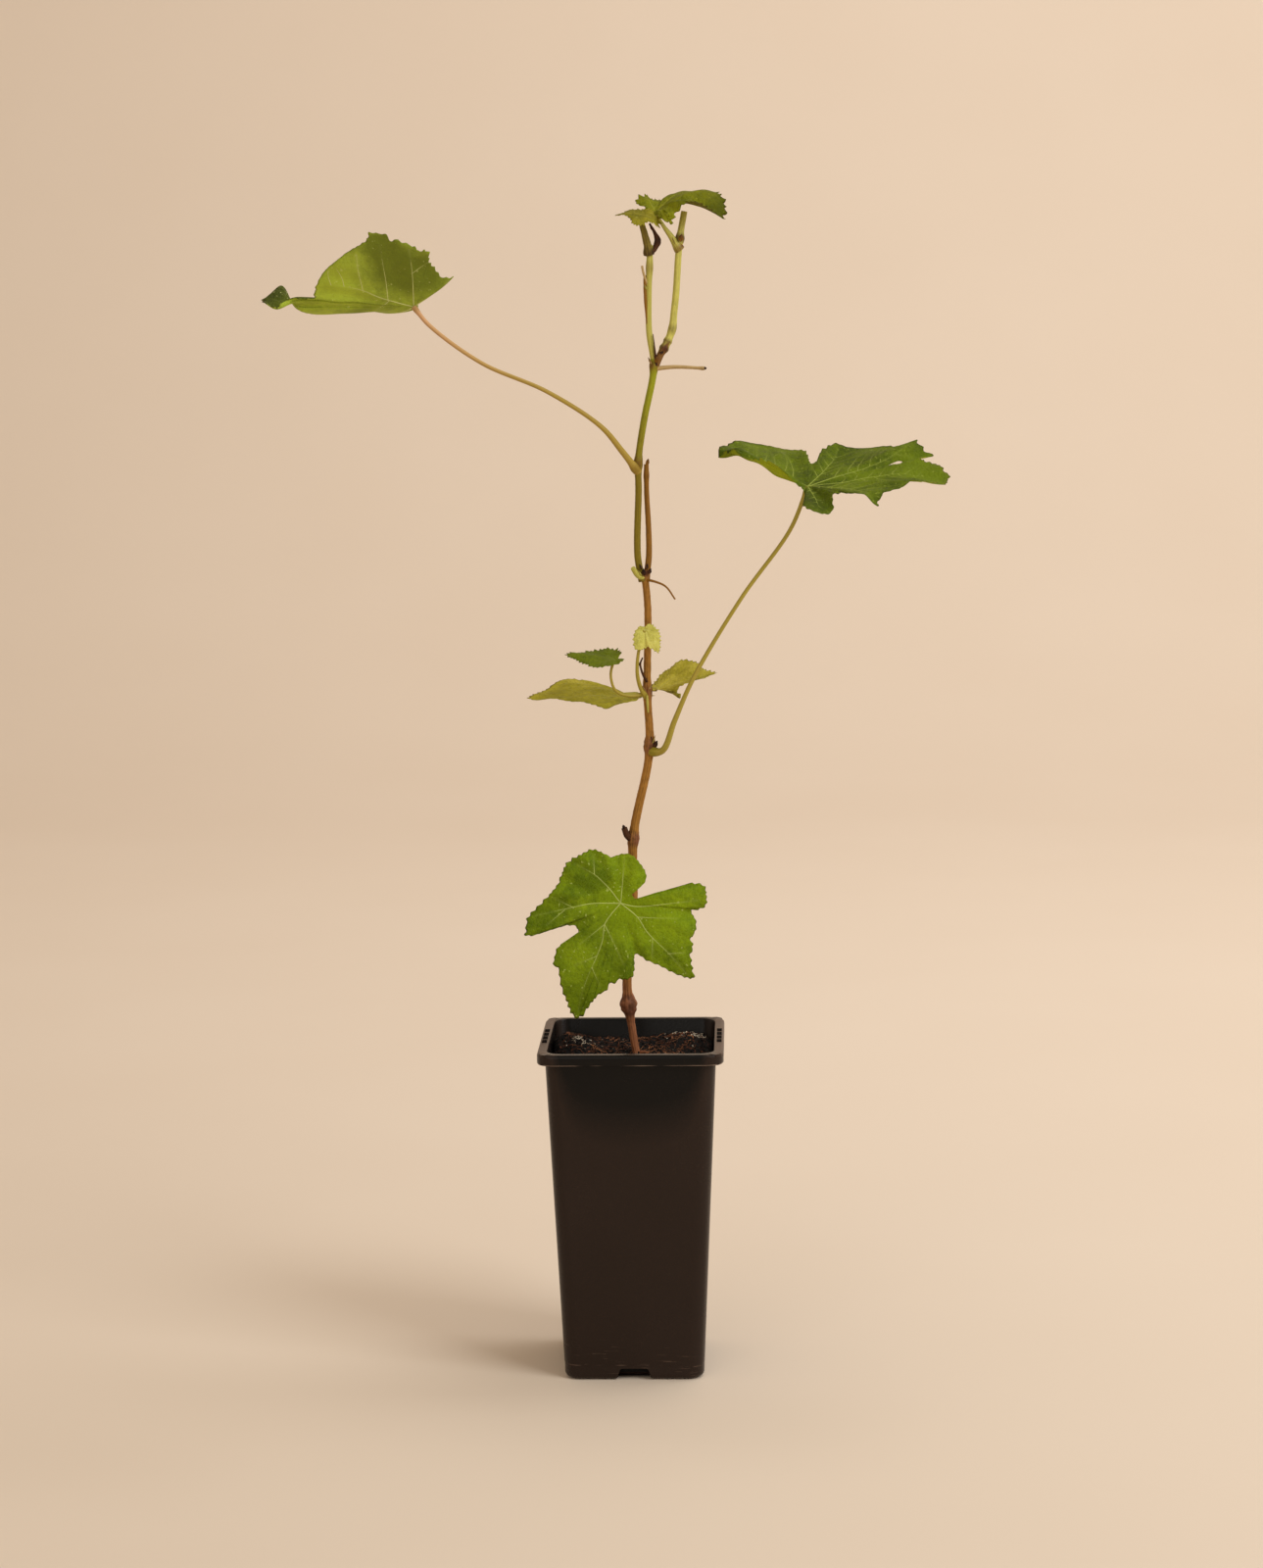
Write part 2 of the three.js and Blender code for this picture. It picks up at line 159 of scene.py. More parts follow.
# %% Finish
class Finish:
    """A material built on one Principled shader."""

    def __init__(self, name, fixed):
        self.material = bpy.data.materials.new(name)
        self.material.use_nodes = True
        self.tree = self.material.node_tree
        self.shader = self.tree.nodes["Principled BSDF"]
        for socket, value in fixed.items():
            self.shader.inputs[socket].default_value = value

    def add(self, kind, settings, sockets, output=0):
        """Adds any node, from its type, its settings and what goes into its sockets."""
        node = self.tree.nodes.new(kind)
        for setting, value in settings.items():
            setattr(node, setting, value)
        for socket, value in sockets.items():
            if isinstance(value, Value):
                self.tree.links.new(value.output, node.inputs[socket])
            else:
                node.inputs[socket].default_value = value
        return Value(self, node.outputs[output])

    def sum(self, operation, *values):
        return self.add("ShaderNodeMath", {"operation": operation}, dict(enumerate(values)))

    def place(self, kind="Object"):
        return self.add("ShaderNodeTexCoord", {}, {}, output=kind)

    def along(self, axis):
        """How far a place lies along x, y or z, as axis 0, 1 or 2."""
        return self.add("ShaderNodeSeparateXYZ", {}, {"Vector": self.place()}, output=axis)

    def attribute(self, name, output="Fac"):
        return self.add("ShaderNodeAttribute", {"attribute_name": name}, {}, output)

    def stretched(self, place, scale):
        return self.add("ShaderNodeMapping", {}, {"Vector": place, "Scale": scale})

    def noise(self, place, scale, detail=3.0, roughness=0.5):
        return self.add("ShaderNodeTexNoise", {},
                        {"Vector": place, "Scale": scale, "Detail": detail, "Roughness": roughness})

    def cells(self, place, scale):
        """How far a place lies from the border of its cell on a flat map."""
        return self.add("ShaderNodeTexVoronoi", {"feature": "DISTANCE_TO_EDGE", "voronoi_dimensions": "2D"},
                        {"Vector": place, "Scale": scale}, output="Distance")

    def mix(self, colour, *layers):
        """Lays tones over a colour, each by its own mask. A tone is a value or three numbers."""
        for tone, mask in layers:
            under, over = (c if isinstance(c, Value) else (*c, 1.0) for c in (colour, tone))
            colour = self.add("ShaderNodeMix", {"data_type": "RGBA"}, {0: mask, 6: under, 7: over}, output=2)
        return colour

    def bump(self, height, strength, distance):
        return self.add("ShaderNodeBump", {}, {"Height": height, "Strength": strength, "Distance": distance})

    def finish(self, varying):
        """Feeds what changes over the surface into the shader, and gives the material."""
        for socket, value in varying.items():
            self.tree.links.new(value.output, self.shader.inputs[socket])
        return self.material


print("a finish feeds one Principled shader")

# %% [markdown]
# People name colours by the values that a screen shows, but a shader counts light, so
# each colour is converted once.

# %% Screen colours
def screen(red, green, blue):
    """A colour by its screen values from 0 to 255, as the linear numbers that shaders use."""
    shares = (value / 255 for value in (red, green, blue))
    return tuple(c / 12.92 if c < 0.0404 else ((c + 0.055) / 1.055) ** 2.4 for c in shares)


print("screen grey 128 is", round(screen(128, 128, 128)[0], 3), "in a shader")

# %% [markdown]
# ## Helpers for modelling
# Faces and edges are chosen in code by where they lie, and then an operator shapes them.
# Every piece ends the same way: its place is put into its mesh, it gets its finish, it
# rides on the one body, and it stands for its solid.

# %% Choosing and shaping
def deselect():
    bpy.ops.object.select_all(action="DESELECT")


def mode(kind):
    bpy.ops.object.mode_set(mode=kind)


def only(piece):
    """Makes one piece the selected and active one."""
    deselect()
    piece.select_set(True)
    bpy.context.view_layer.objects.active = piece


def pick(piece, test, kind="faces"):
    """In edit mode, selects just the faces, edges or vertices that pass a test."""
    bpy.ops.mesh.select_all(action="DESELECT")
    bpy.ops.mesh.select_mode(type={"faces": "FACE", "edges": "EDGE", "verts": "VERT"}[kind])
    mesh = bmesh.from_edit_mesh(piece.data)
    for part in getattr(mesh, kind):
        part.select_set(bool(test(part)))
    bmesh.update_edit_mesh(piece.data)


def extrude(x, y, z):
    """Draws new faces out of the selected ones, by a step in metres."""
    bpy.ops.mesh.extrude_region_move(TRANSFORM_OT_translate={"value": (x, y, z)})


def close():
    """Turns all faces outwards and leaves edit mode."""
    bpy.ops.mesh.select_all(action="SELECT")
    bpy.ops.mesh.normals_make_consistent(inside=False)
    mode("OBJECT")


def joined(pieces):
    """Joins pieces into the first of them."""
    only(pieces[0])
    for piece in pieces[1:]:
        piece.select_set(True)
    bpy.ops.object.join()
    return pieces[0]


def done(piece, name, finish, slot, *nodes):
    """Names a piece, gives it its finish, and lets it stand for its solids. The slot is not used."""
    piece.name = piece.data.name = name
    only(piece)
    bpy.ops.object.transform_apply(location=True, rotation=True, scale=True)
    if finish is not None:
        piece.data.materials.clear()
        piece.data.materials.append(finish)
    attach(piece, "root")
    if nodes:
        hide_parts(*nodes)
    print(name, "has", len(piece.data.polygons), "faces")


print("modelling helpers ready")

# %% [markdown]
# The card is nearly even in tone. Its cove is drawn out of its far edge in eight steps,
# each turned a little further up. Hardly any light gets under a pot, so painted shade
# makes the card dark brown there, and that painted shade shows only through the drainage notches.

# %% Backdrop
card_size, card_shift, card_drop, wall_rise = 8, -1.6, 0.0004, 4
cove_steps, cove_step = 8, 0.35
card = Finish("backdrop_card", {"Roughness": 0.9})
off_middle = (card.along(1) + card_shift).maths("POWER", 2)
# Painted shade: the card turns dark brown in the square under the pot.
painted_shade_under_pot = card.along(0).maths("POWER", 2).maths("MAXIMUM", off_middle).ramp(0.034 ** 2, 0.0395 ** 2, 1.0, 0.0)
card_colour = card.mix(screen(219, 200, 178), (screen(222, 204, 183), card.noise(card.place(), 3.0, 2.0)),
                       (screen(52, 30, 16), painted_shade_under_pot))

deselect()
bpy.ops.mesh.primitive_plane_add(size=card_size, location=(0, card_shift, -card_drop))
card_sheet = bpy.context.object
card_sheet.name = "backdrop"
mode("EDIT")
pick(card_sheet, lambda edge: all(v.co.y > 0.49 * card_size for v in edge.verts), "edges")
for step in range(cove_steps):
    turn = math.radians(90 * (step + 0.5) / cove_steps)
    extrude(0, cove_step * math.cos(turn), cove_step * math.sin(turn))
extrude(0, 0, wall_rise)
mode("OBJECT")
bpy.ops.object.shade_smooth()
card_sheet.data.materials.append(card.finish({"Base Color": card_colour}))
print("backdrop of", len(card_sheet.data.polygons), "faces")

# %% [markdown]
# ## The pot
# The real pot is moulded from soft black plastic: a tall, square, tapered box with rounded
# corners, a flat rim flange that is folded down into a short skirt, and drainage notches
# cut through the foot of each side. A cube is tapered, its upright edges are rounded, and
# the rim, the mouth and the walls are then drawn out of its top face, so the shell stays
# in one piece, as it comes out of the mould.

# %% Pot shell
rim_half, rim_band, pot_height = 60.0, 7.0, 219.0
foot_half, body_top_half, mouth_half = 45.5, 55.0, 53.7
wall, floor_thickness, corner_radius = 1.6, 2.2, 10.5


def looks_up(face):
    return face.normal.z > 0.9


def widen(share):
    """Scales the selection level with the floor."""
    bpy.ops.transform.resize(value=(share, share, 1))


deselect()
bpy.ops.mesh.primitive_cube_add(size=2 * foot_half * mm, location=(0, 0, foot_half * mm))
pot = bpy.context.object
bpy.ops.object.transform_apply(location=True)
mode("EDIT")
pick(pot, looks_up)
bpy.ops.transform.translate(value=(0, 0, (pot_height - rim_band - 2 * foot_half) * mm))
widen(body_top_half / foot_half)
pick(pot, lambda e: abs(e.verts[0].co.z - e.verts[1].co.z) > 0.1, "edges")
bpy.ops.mesh.bevel(offset=corner_radius * mm, segments=8, profile=0.5)
pick(pot, looks_up)
for rise, share in ((0, rim_half / body_top_half), (rim_band, 1), (0, mouth_half / rim_half),
                    (floor_thickness - pot_height, (foot_half - wall) / mouth_half)):
    extrude(0, 0, rise * mm)
    widen(share)
print("pot shell:", len(pot.data.polygons), "faces before rounding")

# %% [markdown]
# No moulded edge is sharp. The sharp level edges are found by their height and by how far
# they are from the middle: the outer rim, the mouth, the foot and the skirt's lower edge.

# %% Rounded edges of the pot
def sharp_level(low, high, inner, outer):
    """A test for sharp level edges, by height and by distance from the middle in mm."""
    def test(edge):
        places = [(v.co.z / mm, max(abs(v.co.x), abs(v.co.y)) / mm) for v in edge.verts]
        if not all(low < height < high and inner < off < outer for height, off in places):
            return False
        return abs(edge.link_faces[0].normal.z - edge.link_faces[1].normal.z) > 0.5
    return test


for limits, offset, segments in (((218.5, 220, 58.5, 61), 1.9, 4), ((218.5, 220, 0, 55), 0.8, 2),
                                 ((-1, 0.1, 0, 61), 3.4, 5), ((211.5, 212.5, 58.5, 61), 0.6, 2)):
    pick(pot, sharp_level(*limits), "edges")
    bpy.ops.mesh.bevel(offset=offset * mm, segments=segments, profile=0.5)
mode("OBJECT")
print("pot shell:", len(pot.data.polygons), "faces after rounding")

# %% [markdown]
# A faint step runs round the pot where its foot joins the walls. Two cuts mark it, and the
# strip below them is drawn in by a fifth of a millimetre. The notches and the four drain
# holes are taken out with a cutter that is turned to each side, as the mould's own cores do.

# %% Foot step, notches and drain holes
step_low, step_high = 9.6, 10.3
notch_size, notch_place = (0.023, 0.014, 0.008), (0, -0.04, 0.0035)
drain_radius, drain_off = 0.0045, 0.021


def apply_modifier(piece, kind, **settings):
    only(piece)
    modifier = piece.modifiers.new(kind.lower(), kind)
    for name, value in settings.items():
        setattr(modifier, name, value)
    bpy.ops.object.modifier_apply(modifier=modifier.name)


mode("EDIT")
for height in (step_low, step_high):
    bpy.ops.mesh.select_all(action="SELECT")
    bpy.ops.mesh.bisect(plane_co=(0, 0, height * mm), plane_no=(0, 0, 1))
pick(pot, lambda v: 3.5 < v.co.z / mm < step_low + 0.1 and max(abs(v.co.x), abs(v.co.y)) / mm > 44.9, "verts")
widen(0.9955)
mode("OBJECT")

deselect()
bpy.ops.mesh.primitive_cube_add(size=1, location=notch_place)
notch = bpy.context.object
notch.scale = notch_size
bpy.ops.object.transform_apply(location=True, rotation=False, scale=True)
mode("EDIT")
pick(notch, looks_up)
bpy.ops.transform.resize(value=(0.8, 1, 1))
pick(notch, lambda e: all(v.co.z > 0.007 for v in e.verts)
     and abs(e.verts[0].co.y - e.verts[1].co.y) > 0.005, "edges")
bpy.ops.mesh.bevel(offset=1.6 * mm, segments=3)
mode("OBJECT")
deselect()
bpy.ops.mesh.primitive_cylinder_add(vertices=32, radius=drain_radius, depth=0.02,
                                    location=(drain_off, drain_off, 0))
cutter = joined([notch, bpy.context.object])
for side in range(4):
    cutter.rotation_euler.z = math.radians(90 * side)
    apply_modifier(pot, "BOOLEAN", object=cutter, operation="DIFFERENCE", solver="EXACT")
bpy.data.objects.remove(cutter)
only(pot)
mode("EDIT")
bpy.ops.mesh.select_all(action="SELECT")
bpy.ops.mesh.remove_doubles(threshold=1e-6)
close()
bpy.ops.object.shade_smooth_by_angle(angle=math.radians(38))
print("cut pot:", len(pot.data.polygons), "faces")

# %% [markdown]
# The plastic is black with a trace of brown, and a dark reflection is painted into it as a
# blacker lobe below the middle of each side's rim. It has a soft sheen that changes slowly
# over the walls, a very fine pebble from the mould, a few rubbed scratches low down where
# pots slide against each other, and a rim that handling has left paler on two sides. A thin,
# broken paler line follows the foot step, and a broken painted highlight runs along the
# skirt's lower edge.

# %% Pot finish
plastic = Finish("pot_plastic", {"Specular IOR Level": 0.18})
spot = plastic.place()
height = plastic.along(2)
across, depth = (plastic.along(axis).maths("POWER", 2) for axis in (0, 1))
cloud = plastic.noise(spot, 16.0, 4.0)
off_middle = across.maths("MINIMUM", depth) * (1 / 0.047 ** 2)
# Painted reflection: a dark lobe below the middle of each rim, laid into the colour.
painted_dark_reflection = height + cloud * 0.008 - off_middle * 0.011 - off_middle.maths("POWER", 4) * 0.03
side_band = across.ramp(0.0525 ** 2, 0.0545 ** 2) * depth.ramp(0.052 ** 2, 0.058 ** 2, 1.0, 0.0)
pebble = plastic.noise(spot, 900.0, 2.0)
rub = plastic.noise(plastic.stretched(spot, (60, 60, 900)), 1.0, 4.0, 0.6).ramp(0.63, 0.7)
rub = rub * height.ramp(0.004, 0.03, 1.0, 0.0)
rim_wear = height.ramp(0.2165, 0.2187) * plastic.noise(spot, 70.0, 3.0).ramp(0.35, 0.65, 0.6, 1.0) * side_band
foot_line = height.maths("COMPARE", 0.0099, 0.0003) * plastic.noise(spot, 90.0, 2.0).ramp(0.5, 0.66)
outside = across.maths("MAXIMUM", depth).ramp(0.0572 ** 2, 0.0578 ** 2)
# Painted highlight: a broken pale line along the skirt's lower edge, on the outside only.
painted_skirt_highlight = height.maths("COMPARE", 0.2122, 0.0004) * plastic.noise(spot, 40.0, 2.0).ramp(0.42, 0.62)
body_colour = plastic.mix(screen(34, 24, 18), (screen(43, 31, 25), cloud),
                          (screen(7, 6, 5), painted_dark_reflection.ramp(0.16, 0.19, 0.0, 0.96)),
                          (screen(84, 64, 53), rim_wear),
                          (screen(105, 84, 70), rub * 0.8),
                          (screen(66, 40, 30), height.ramp(0.0005, 0.002, 0.3, 0.0)),
                          (screen(112, 92, 80), foot_line * 0.5),
                          (screen(150, 128, 112), painted_skirt_highlight * outside * 0.6))
sheen = cloud.ramp(0.3, 0.7, 0.22, 0.3) + rim_wear * 0.1 + rub * 0.2
plastic.finish({"Base Color": body_colour, "Roughness": sheen,
                "Normal": plastic.bump(pebble + cloud * 0.6, 0.35, 0.0004)})
done(pot, "nursery_pot", plastic.material, "pot_plastic", "pot")

# %% [markdown]
# Along the middle of both sides the rim carries a short row of plain moulded pads, which
# look darker than the rubbed flange round them.

# %% Rim marks
pad_size, pad_stride, pad_off = Vector((3.2, 7.4, 0.6)), 11, 56.9
pads = []
for side in (-1, 1):
    for step in range(4):
        deselect()
        place = Vector((side * pad_off, (step - 1.5) * pad_stride, pot_height)) * mm
        bpy.ops.mesh.primitive_cube_add(size=1, location=place)
        pads.append(bpy.context.object)
        pads[-1].scale = pad_size * mm
marks = Finish("pad_plastic", {"Specular IOR Level": 0.03, "Roughness": 0.8})
marks_colour = marks.mix(screen(5, 4, 3), (screen(14, 10, 8), marks.noise(marks.place(), 300.0)))
done(joined(pads), "rim_marks", marks.finish({"Base Color": marks_colour}), "pot_plastic")

# %% [markdown]
# ## The peat
# Vine pots are filled with dark peat: crumbs of every size, reddish fibres and a few white
# grains of perlite. Its body is a finely divided grid that noise raises into crumbs, with
# its border drawn down inside the pot. Loose crumbs, fibres and grains lie on it.

# %% Peat body
soil_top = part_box("soil")[1].z
peat_half, border_drop, peat_depth, foot_share = 0.052, 0.012, 0.186, 0.82
crumb_reach, fibre_reach, fibre_limit = 47, 46, 0.0475
whole_turn = 6.28
random = np.random.default_rng(7)


def points_of(piece):
    points = np.empty(len(piece.data.vertices) * 3)
    piece.data.vertices.foreach_get("co", points)
    return points.reshape(-1, 3)


def put_points(piece, points):
    piece.data.vertices.foreach_set("co", np.ascontiguousarray(points, dtype=np.float32).ravel())
    piece.data.update()


def heap(x, y, centre, rise, reach):
    return rise * math.exp(-((x - centre[0]) ** 2 + (y - centre[1]) ** 2) / reach ** 2)


def peat_height(x, y):
    """The peat's surface: rough ground, crumbs, two heaps and a bank towards the back."""
    rough = noise.fractal(Vector((x * 70, y * 70, 1.3)), 0.7, 2.1, 5) * 1.6
    crumbs = abs(noise.noise(Vector((x * 260, y * 260, 4.1)))) * 1.8
    heaps = heap(x, y, (-0.044, 0.02), 10, 0.017) + heap(x, y, (0.034, 0.034), 5.5, 0.016)
    bank = 3.6 * min(1, max(0, (y + 0.01) / 0.05))
    return soil_top + (rough + crumbs + heaps + bank - 1.4) * mm


deselect()
bpy.ops.mesh.primitive_grid_add(x_subdivisions=150, y_subdivisions=150, size=2 * peat_half)
peat = bpy.context.object
places = points_of(peat)
for place in places:
    corner = max(abs(place[0]), abs(place[1])) / peat_half
    bulk = (abs(place[0] / peat_half) ** 8 + abs(place[1] / peat_half) ** 8) ** (1 / 8)
    if bulk > 0:
        place[:2] *= corner / bulk
    place[2] = peat_height(place[0], place[1]) - 0.002 * max(0, corner - 0.94) / 0.06
put_points(peat, places)
only(peat)
mode("EDIT")
pick(peat, lambda e: e.is_boundary, "edges")
extrude(0, 0, -border_drop)
extrude(0, 0, -peat_depth)
bpy.ops.transform.resize(value=(foot_share, foot_share, 0.0), center_override=(0, 0, 0.0045))
bpy.ops.mesh.edge_face_add()
close()
bpy.ops.object.shade_smooth()
print("peat surface near", round(soil_top / mm), "mm")

# %% [markdown]
# Peat is nearly black, with reddish grains where a fibre or a dry crumb shows. Each crumb
# stores one number, its tone, which makes some of them paler, and painted shade makes the
# peat blackest deep down in the pot.

# %% Peat finish
earth = Finish("peat", {"Specular IOR Level": 0.2})
spot = earth.place()
coarse = earth.noise(spot, 220.0, 6.0, 0.65)
fine = earth.noise(spot, 1400.0, 3.0)
tone = earth.attribute("tone")
# The last layer is painted shade: the peat turns black deep down in the pot.
earth_colour = earth.mix(screen(5, 3, 1), (screen(62, 35, 22), (coarse + tone * 0.25).ramp(0.54, 0.84)),
                         (screen(132, 76, 50), earth.noise(spot, 500.0, 4.0).ramp(0.6, 0.72) * 0.6),
                         (screen(150, 98, 68), tone.ramp(0.6, 1.0, 0.0, 0.5)),
                         (screen(2, 1, 1), earth.along(2).ramp(0.16, 0.18, 1.0, 0.0)))
earth.finish({"Base Color": earth_colour, "Roughness": coarse.ramp(0.3, 0.7, 0.75, 1.0),
              "Normal": earth.bump(coarse + fine * 0.4, 0.9, 0.001)})
done(peat, "peat", earth.material, "peat", "soil")

# %% [markdown]
# Four rough shapes are enough for all loose crumbs, because each is turned and scaled
# differently. Perlite is strewn by the same helper, as flatter and paler grains.

# %% Crumbs and perlite on the peat
def store(piece, name, values):
    """Keeps a number or a vector for each vertex, which a finish can read by name."""
    values = np.ascontiguousarray(values, dtype=np.float32)
    kind, field = ("FLOAT", "value") if values.ndim == 1 else ("FLOAT_VECTOR", "vector")
    piece.data.attributes.new(name, kind, "POINT").data.foreach_set(field, values.ravel())


def scatter(name, finish, count, sizes, stretch):
    """Strews rough crumbs over the peat, joined as one piece."""
    crumbs = []
    for _ in range(4):
        deselect()
        bpy.ops.mesh.primitive_ico_sphere_add(subdivisions=1, radius=1)
        crumb = bpy.context.object
        put_points(crumb, points_of(crumb) * random.uniform(0.65, 1.2, (len(crumb.data.vertices), 1)))
        crumbs.append(points_of(crumb))
        triangles = [tuple(f.vertices) for f in crumb.data.polygons]
        bpy.data.objects.remove(crumb)
    points, faces, tones = [], [], []
    for _ in range(count):
        x, y = random.uniform(-crumb_reach, crumb_reach, 2) * mm
        size = random.uniform(*sizes) * mm * random.uniform(0.6, 1)
        turn = Matrix.Rotation(random.uniform(0, whole_turn), 3, Vector(random.normal(size=3)))
        shape = crumbs[random.integers(4)] * np.array(stretch) * size
        centre = np.array((x, y, peat_height(x, y) + size * 0.25))
        faces += [tuple(len(points) + v for v in face) for face in triangles]
        points += list(shape @ np.array(turn) + centre)
        tones += [random.uniform() ** 2.5] * len(shape)
    piece = add_object(name, bpy.data.meshes.new(name))
    piece.data.from_pydata(points, [], faces)
    store(piece, "tone", tones)
    done(piece, name, finish, "peat")


scatter("peat_crumbs", earth.material, 2600, (0.3, 1.4), (1, 1, 0.7))
perlite = Finish("perlite", {"Roughness": 0.9})
perlite_tone = perlite.attribute("tone").ramp(0.0, 0.6)
perlite.finish({"Base Color": perlite.mix(screen(120, 108, 92), (screen(222, 211, 190), perlite_tone)),
                "Normal": perlite.bump(perlite.noise(perlite.place(), 1800.0), 0.6, 0.0004)})
scatter("perlite_grains", perlite.material, 70, (0.3, 1.7), (1.3, 0.7, 0.3))

# %% [markdown]
# ## Stems and stalks
# A vine's stem is jointed: a slightly zigzag rod with a swollen knot at every leaf. Each
# limb is a sheet rolled into a tube: a grid is wrapped round a smooth path, its seam is
# welded and its ends are closed. Its girth tapers, swells at the knots and carries the
# fine ridges of the bark. Because the grid remembers where each point lies round and along
# the limb, the streaks of the finish can follow the stem round every bend.

# %% Smooth paths
path_count = 600


def columns(at, places, table):
    """Reads each column of a table between its rows."""
    return np.stack([np.interp(at, places, table[:, axis]) for axis in range(3)], axis=1)


def smooth_path(points):
    """A smooth curve through points, as evenly spaced places on it, and its length in mm."""
    row = np.array(points, float)
    row = np.vstack((2 * row[0] - row[1], row, 2 * row[-1] - row[-2]))
    places = []
    for a, b, c, d in zip(row, row[1:], row[2:], row[3:]):
        ab, bc, cd = (max(np.linalg.norm(v) ** 0.5, 1e-4) for v in (b - a, c - b, d - c))
        start = ((b - a) / ab - (c - a) / (ab + bc) + (c - b) / bc) * bc
        end = ((c - b) / bc - (d - b) / (bc + cd) + (d - c) / cd) * bc
        t = np.linspace(0, 1, 60, endpoint=False)[:, None]
        places.append(b + start * t + (3 * c - 3 * b - 2 * start - end) * t ** 2
                      + (2 * b - 2 * c + start + end) * t ** 3)
    places = np.vstack((*places, row[-2]))
    run = np.concatenate(([0], np.cumsum(np.linalg.norm(np.diff(places, axis=0), axis=1))))
    return columns(np.linspace(0, run[-1], path_count), run, places), run[-1]


corner = smooth_path([(0, 0, 0), (10, 0, 0), (10, 10, 0)])
print("a smooth path round a corner with sides of 10 mm is", round(corner[1], 1), "mm long")

# %% [markdown]
# Bark is never even. Three waves of nearby counts beat against each other round the limb
# and wander along it, which gives ridges that fade in and out, and noise adds lumps where
# the knots are. A knot is given by its share of the length, its swell and its half length.

# %% Limb
wander, weld_gap, lump_size = 0.8, 1e-7, 1.1


def ridges(turn, along, count, seed):
    """Uneven lengthwise ridges, from -1 to 1, that wander slowly round the limb."""
    dice = np.random.default_rng(seed)
    total = 0
    for wave in range(3):
        total = total + np.sin((count + 3 * wave) * turn + dice.uniform(0, whole_turn)
                               + wander * np.sin(along / dice.uniform(9, 30) + dice.uniform(0, whole_turn)))
    return total / 3


def unit(vectors):
    return vectors / np.linalg.norm(vectors, axis=1)[:, None]


def limb(name, path, radius, finish, slot, seed, knots=(), sides=20, ridge=0.05, ridge_count=7,
         lumps=0.0, step=1.2):
    """Wraps a grid round a path, with radii in mm spaced evenly along it."""
    centre, length = smooth_path(path)
    deselect()
    bpy.ops.mesh.primitive_grid_add(x_subdivisions=sides, y_subdivisions=max(6, int(length / step)), size=2)
    piece = bpy.context.object
    sheet = points_of(piece)
    turn = np.pi * (sheet[:, 0] + 1)
    share = (sheet[:, 1] + 1) / 2
    along = share * length
    heading = unit(np.gradient(centre, axis=0))
    across = unit(np.cross((0, -1, 0), heading))
    middle, side, ahead = (columns(share * (path_count - 1), np.arange(path_count), table)
                           for table in (centre, across, np.cross(across, heading)))
    girth = np.interp(share, np.linspace(0, 1, len(radius)), radius)
    bumps = sum((swell * np.exp(-((along - place * length) / reach) ** 2) for place, swell, reach in knots),
                np.zeros(len(share)))
    ring = np.stack((np.cos(turn), np.sin(turn)), axis=1)
    relief = ridge * (1 + 1.5 * np.minimum(bumps, 0.8)) * ridges(turn, along, ridge_count, seed)
    if lumps:
        spots = np.column_stack((ring * lump_size, along * 0.28 + seed * 7))
        relief = relief + [lumps * (0.25 + 0.5 * bump) * noise.fractal(Vector(spot), 0.8, 2.0, 3)
                           for spot, bump in zip(spots, bumps)]
    girth = (girth + bumps + relief)[:, None]
    put_points(piece, (middle + side * ring[:, :1] * girth + ahead * ring[:, 1:] * girth) * mm)
    store(piece, "grain", np.column_stack((ring, along / 10)))
    store(piece, "knot", np.clip(bumps, 0, 1.5))
    store(piece, "ridge", np.clip(0.5 + relief / (2 * ridge) * 0.8, 0, 1))
    only(piece)
    mode("EDIT")
    bpy.ops.mesh.select_all(action="SELECT")
    bpy.ops.mesh.remove_doubles(threshold=weld_gap)
    bpy.ops.mesh.fill_holes(sides=0)
    pick(piece, lambda f: len(f.verts) > 4)
    bpy.ops.mesh.inset(thickness=min(radius[0], radius[-1]) * 0.25 * mm)
    bpy.ops.mesh.poke()
    close()
    bpy.ops.object.shade_smooth_by_angle(angle=math.radians(60))
    # A limb stands for the solid of its own name, where a stalk's solid is called a petiole.
    node = name.replace("stalk", "petiole")
    done(piece, name, finish, slot, *([node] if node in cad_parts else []))


print("a limb follows its path by", path_count, "places")

# %% [markdown]
# One recipe serves all the stems. Streaks of a darker and a lighter tone run along the
# limb, knots are browner, pores fleck the skin, and painted shade darkens the furrows
# between the ridges. Only the colours, and how strongly the old bark shows its fibres and
# its painted furrow shade, change from the brown foot to the green tips. Some stems
# change to a second tone between two heights, given in metres.

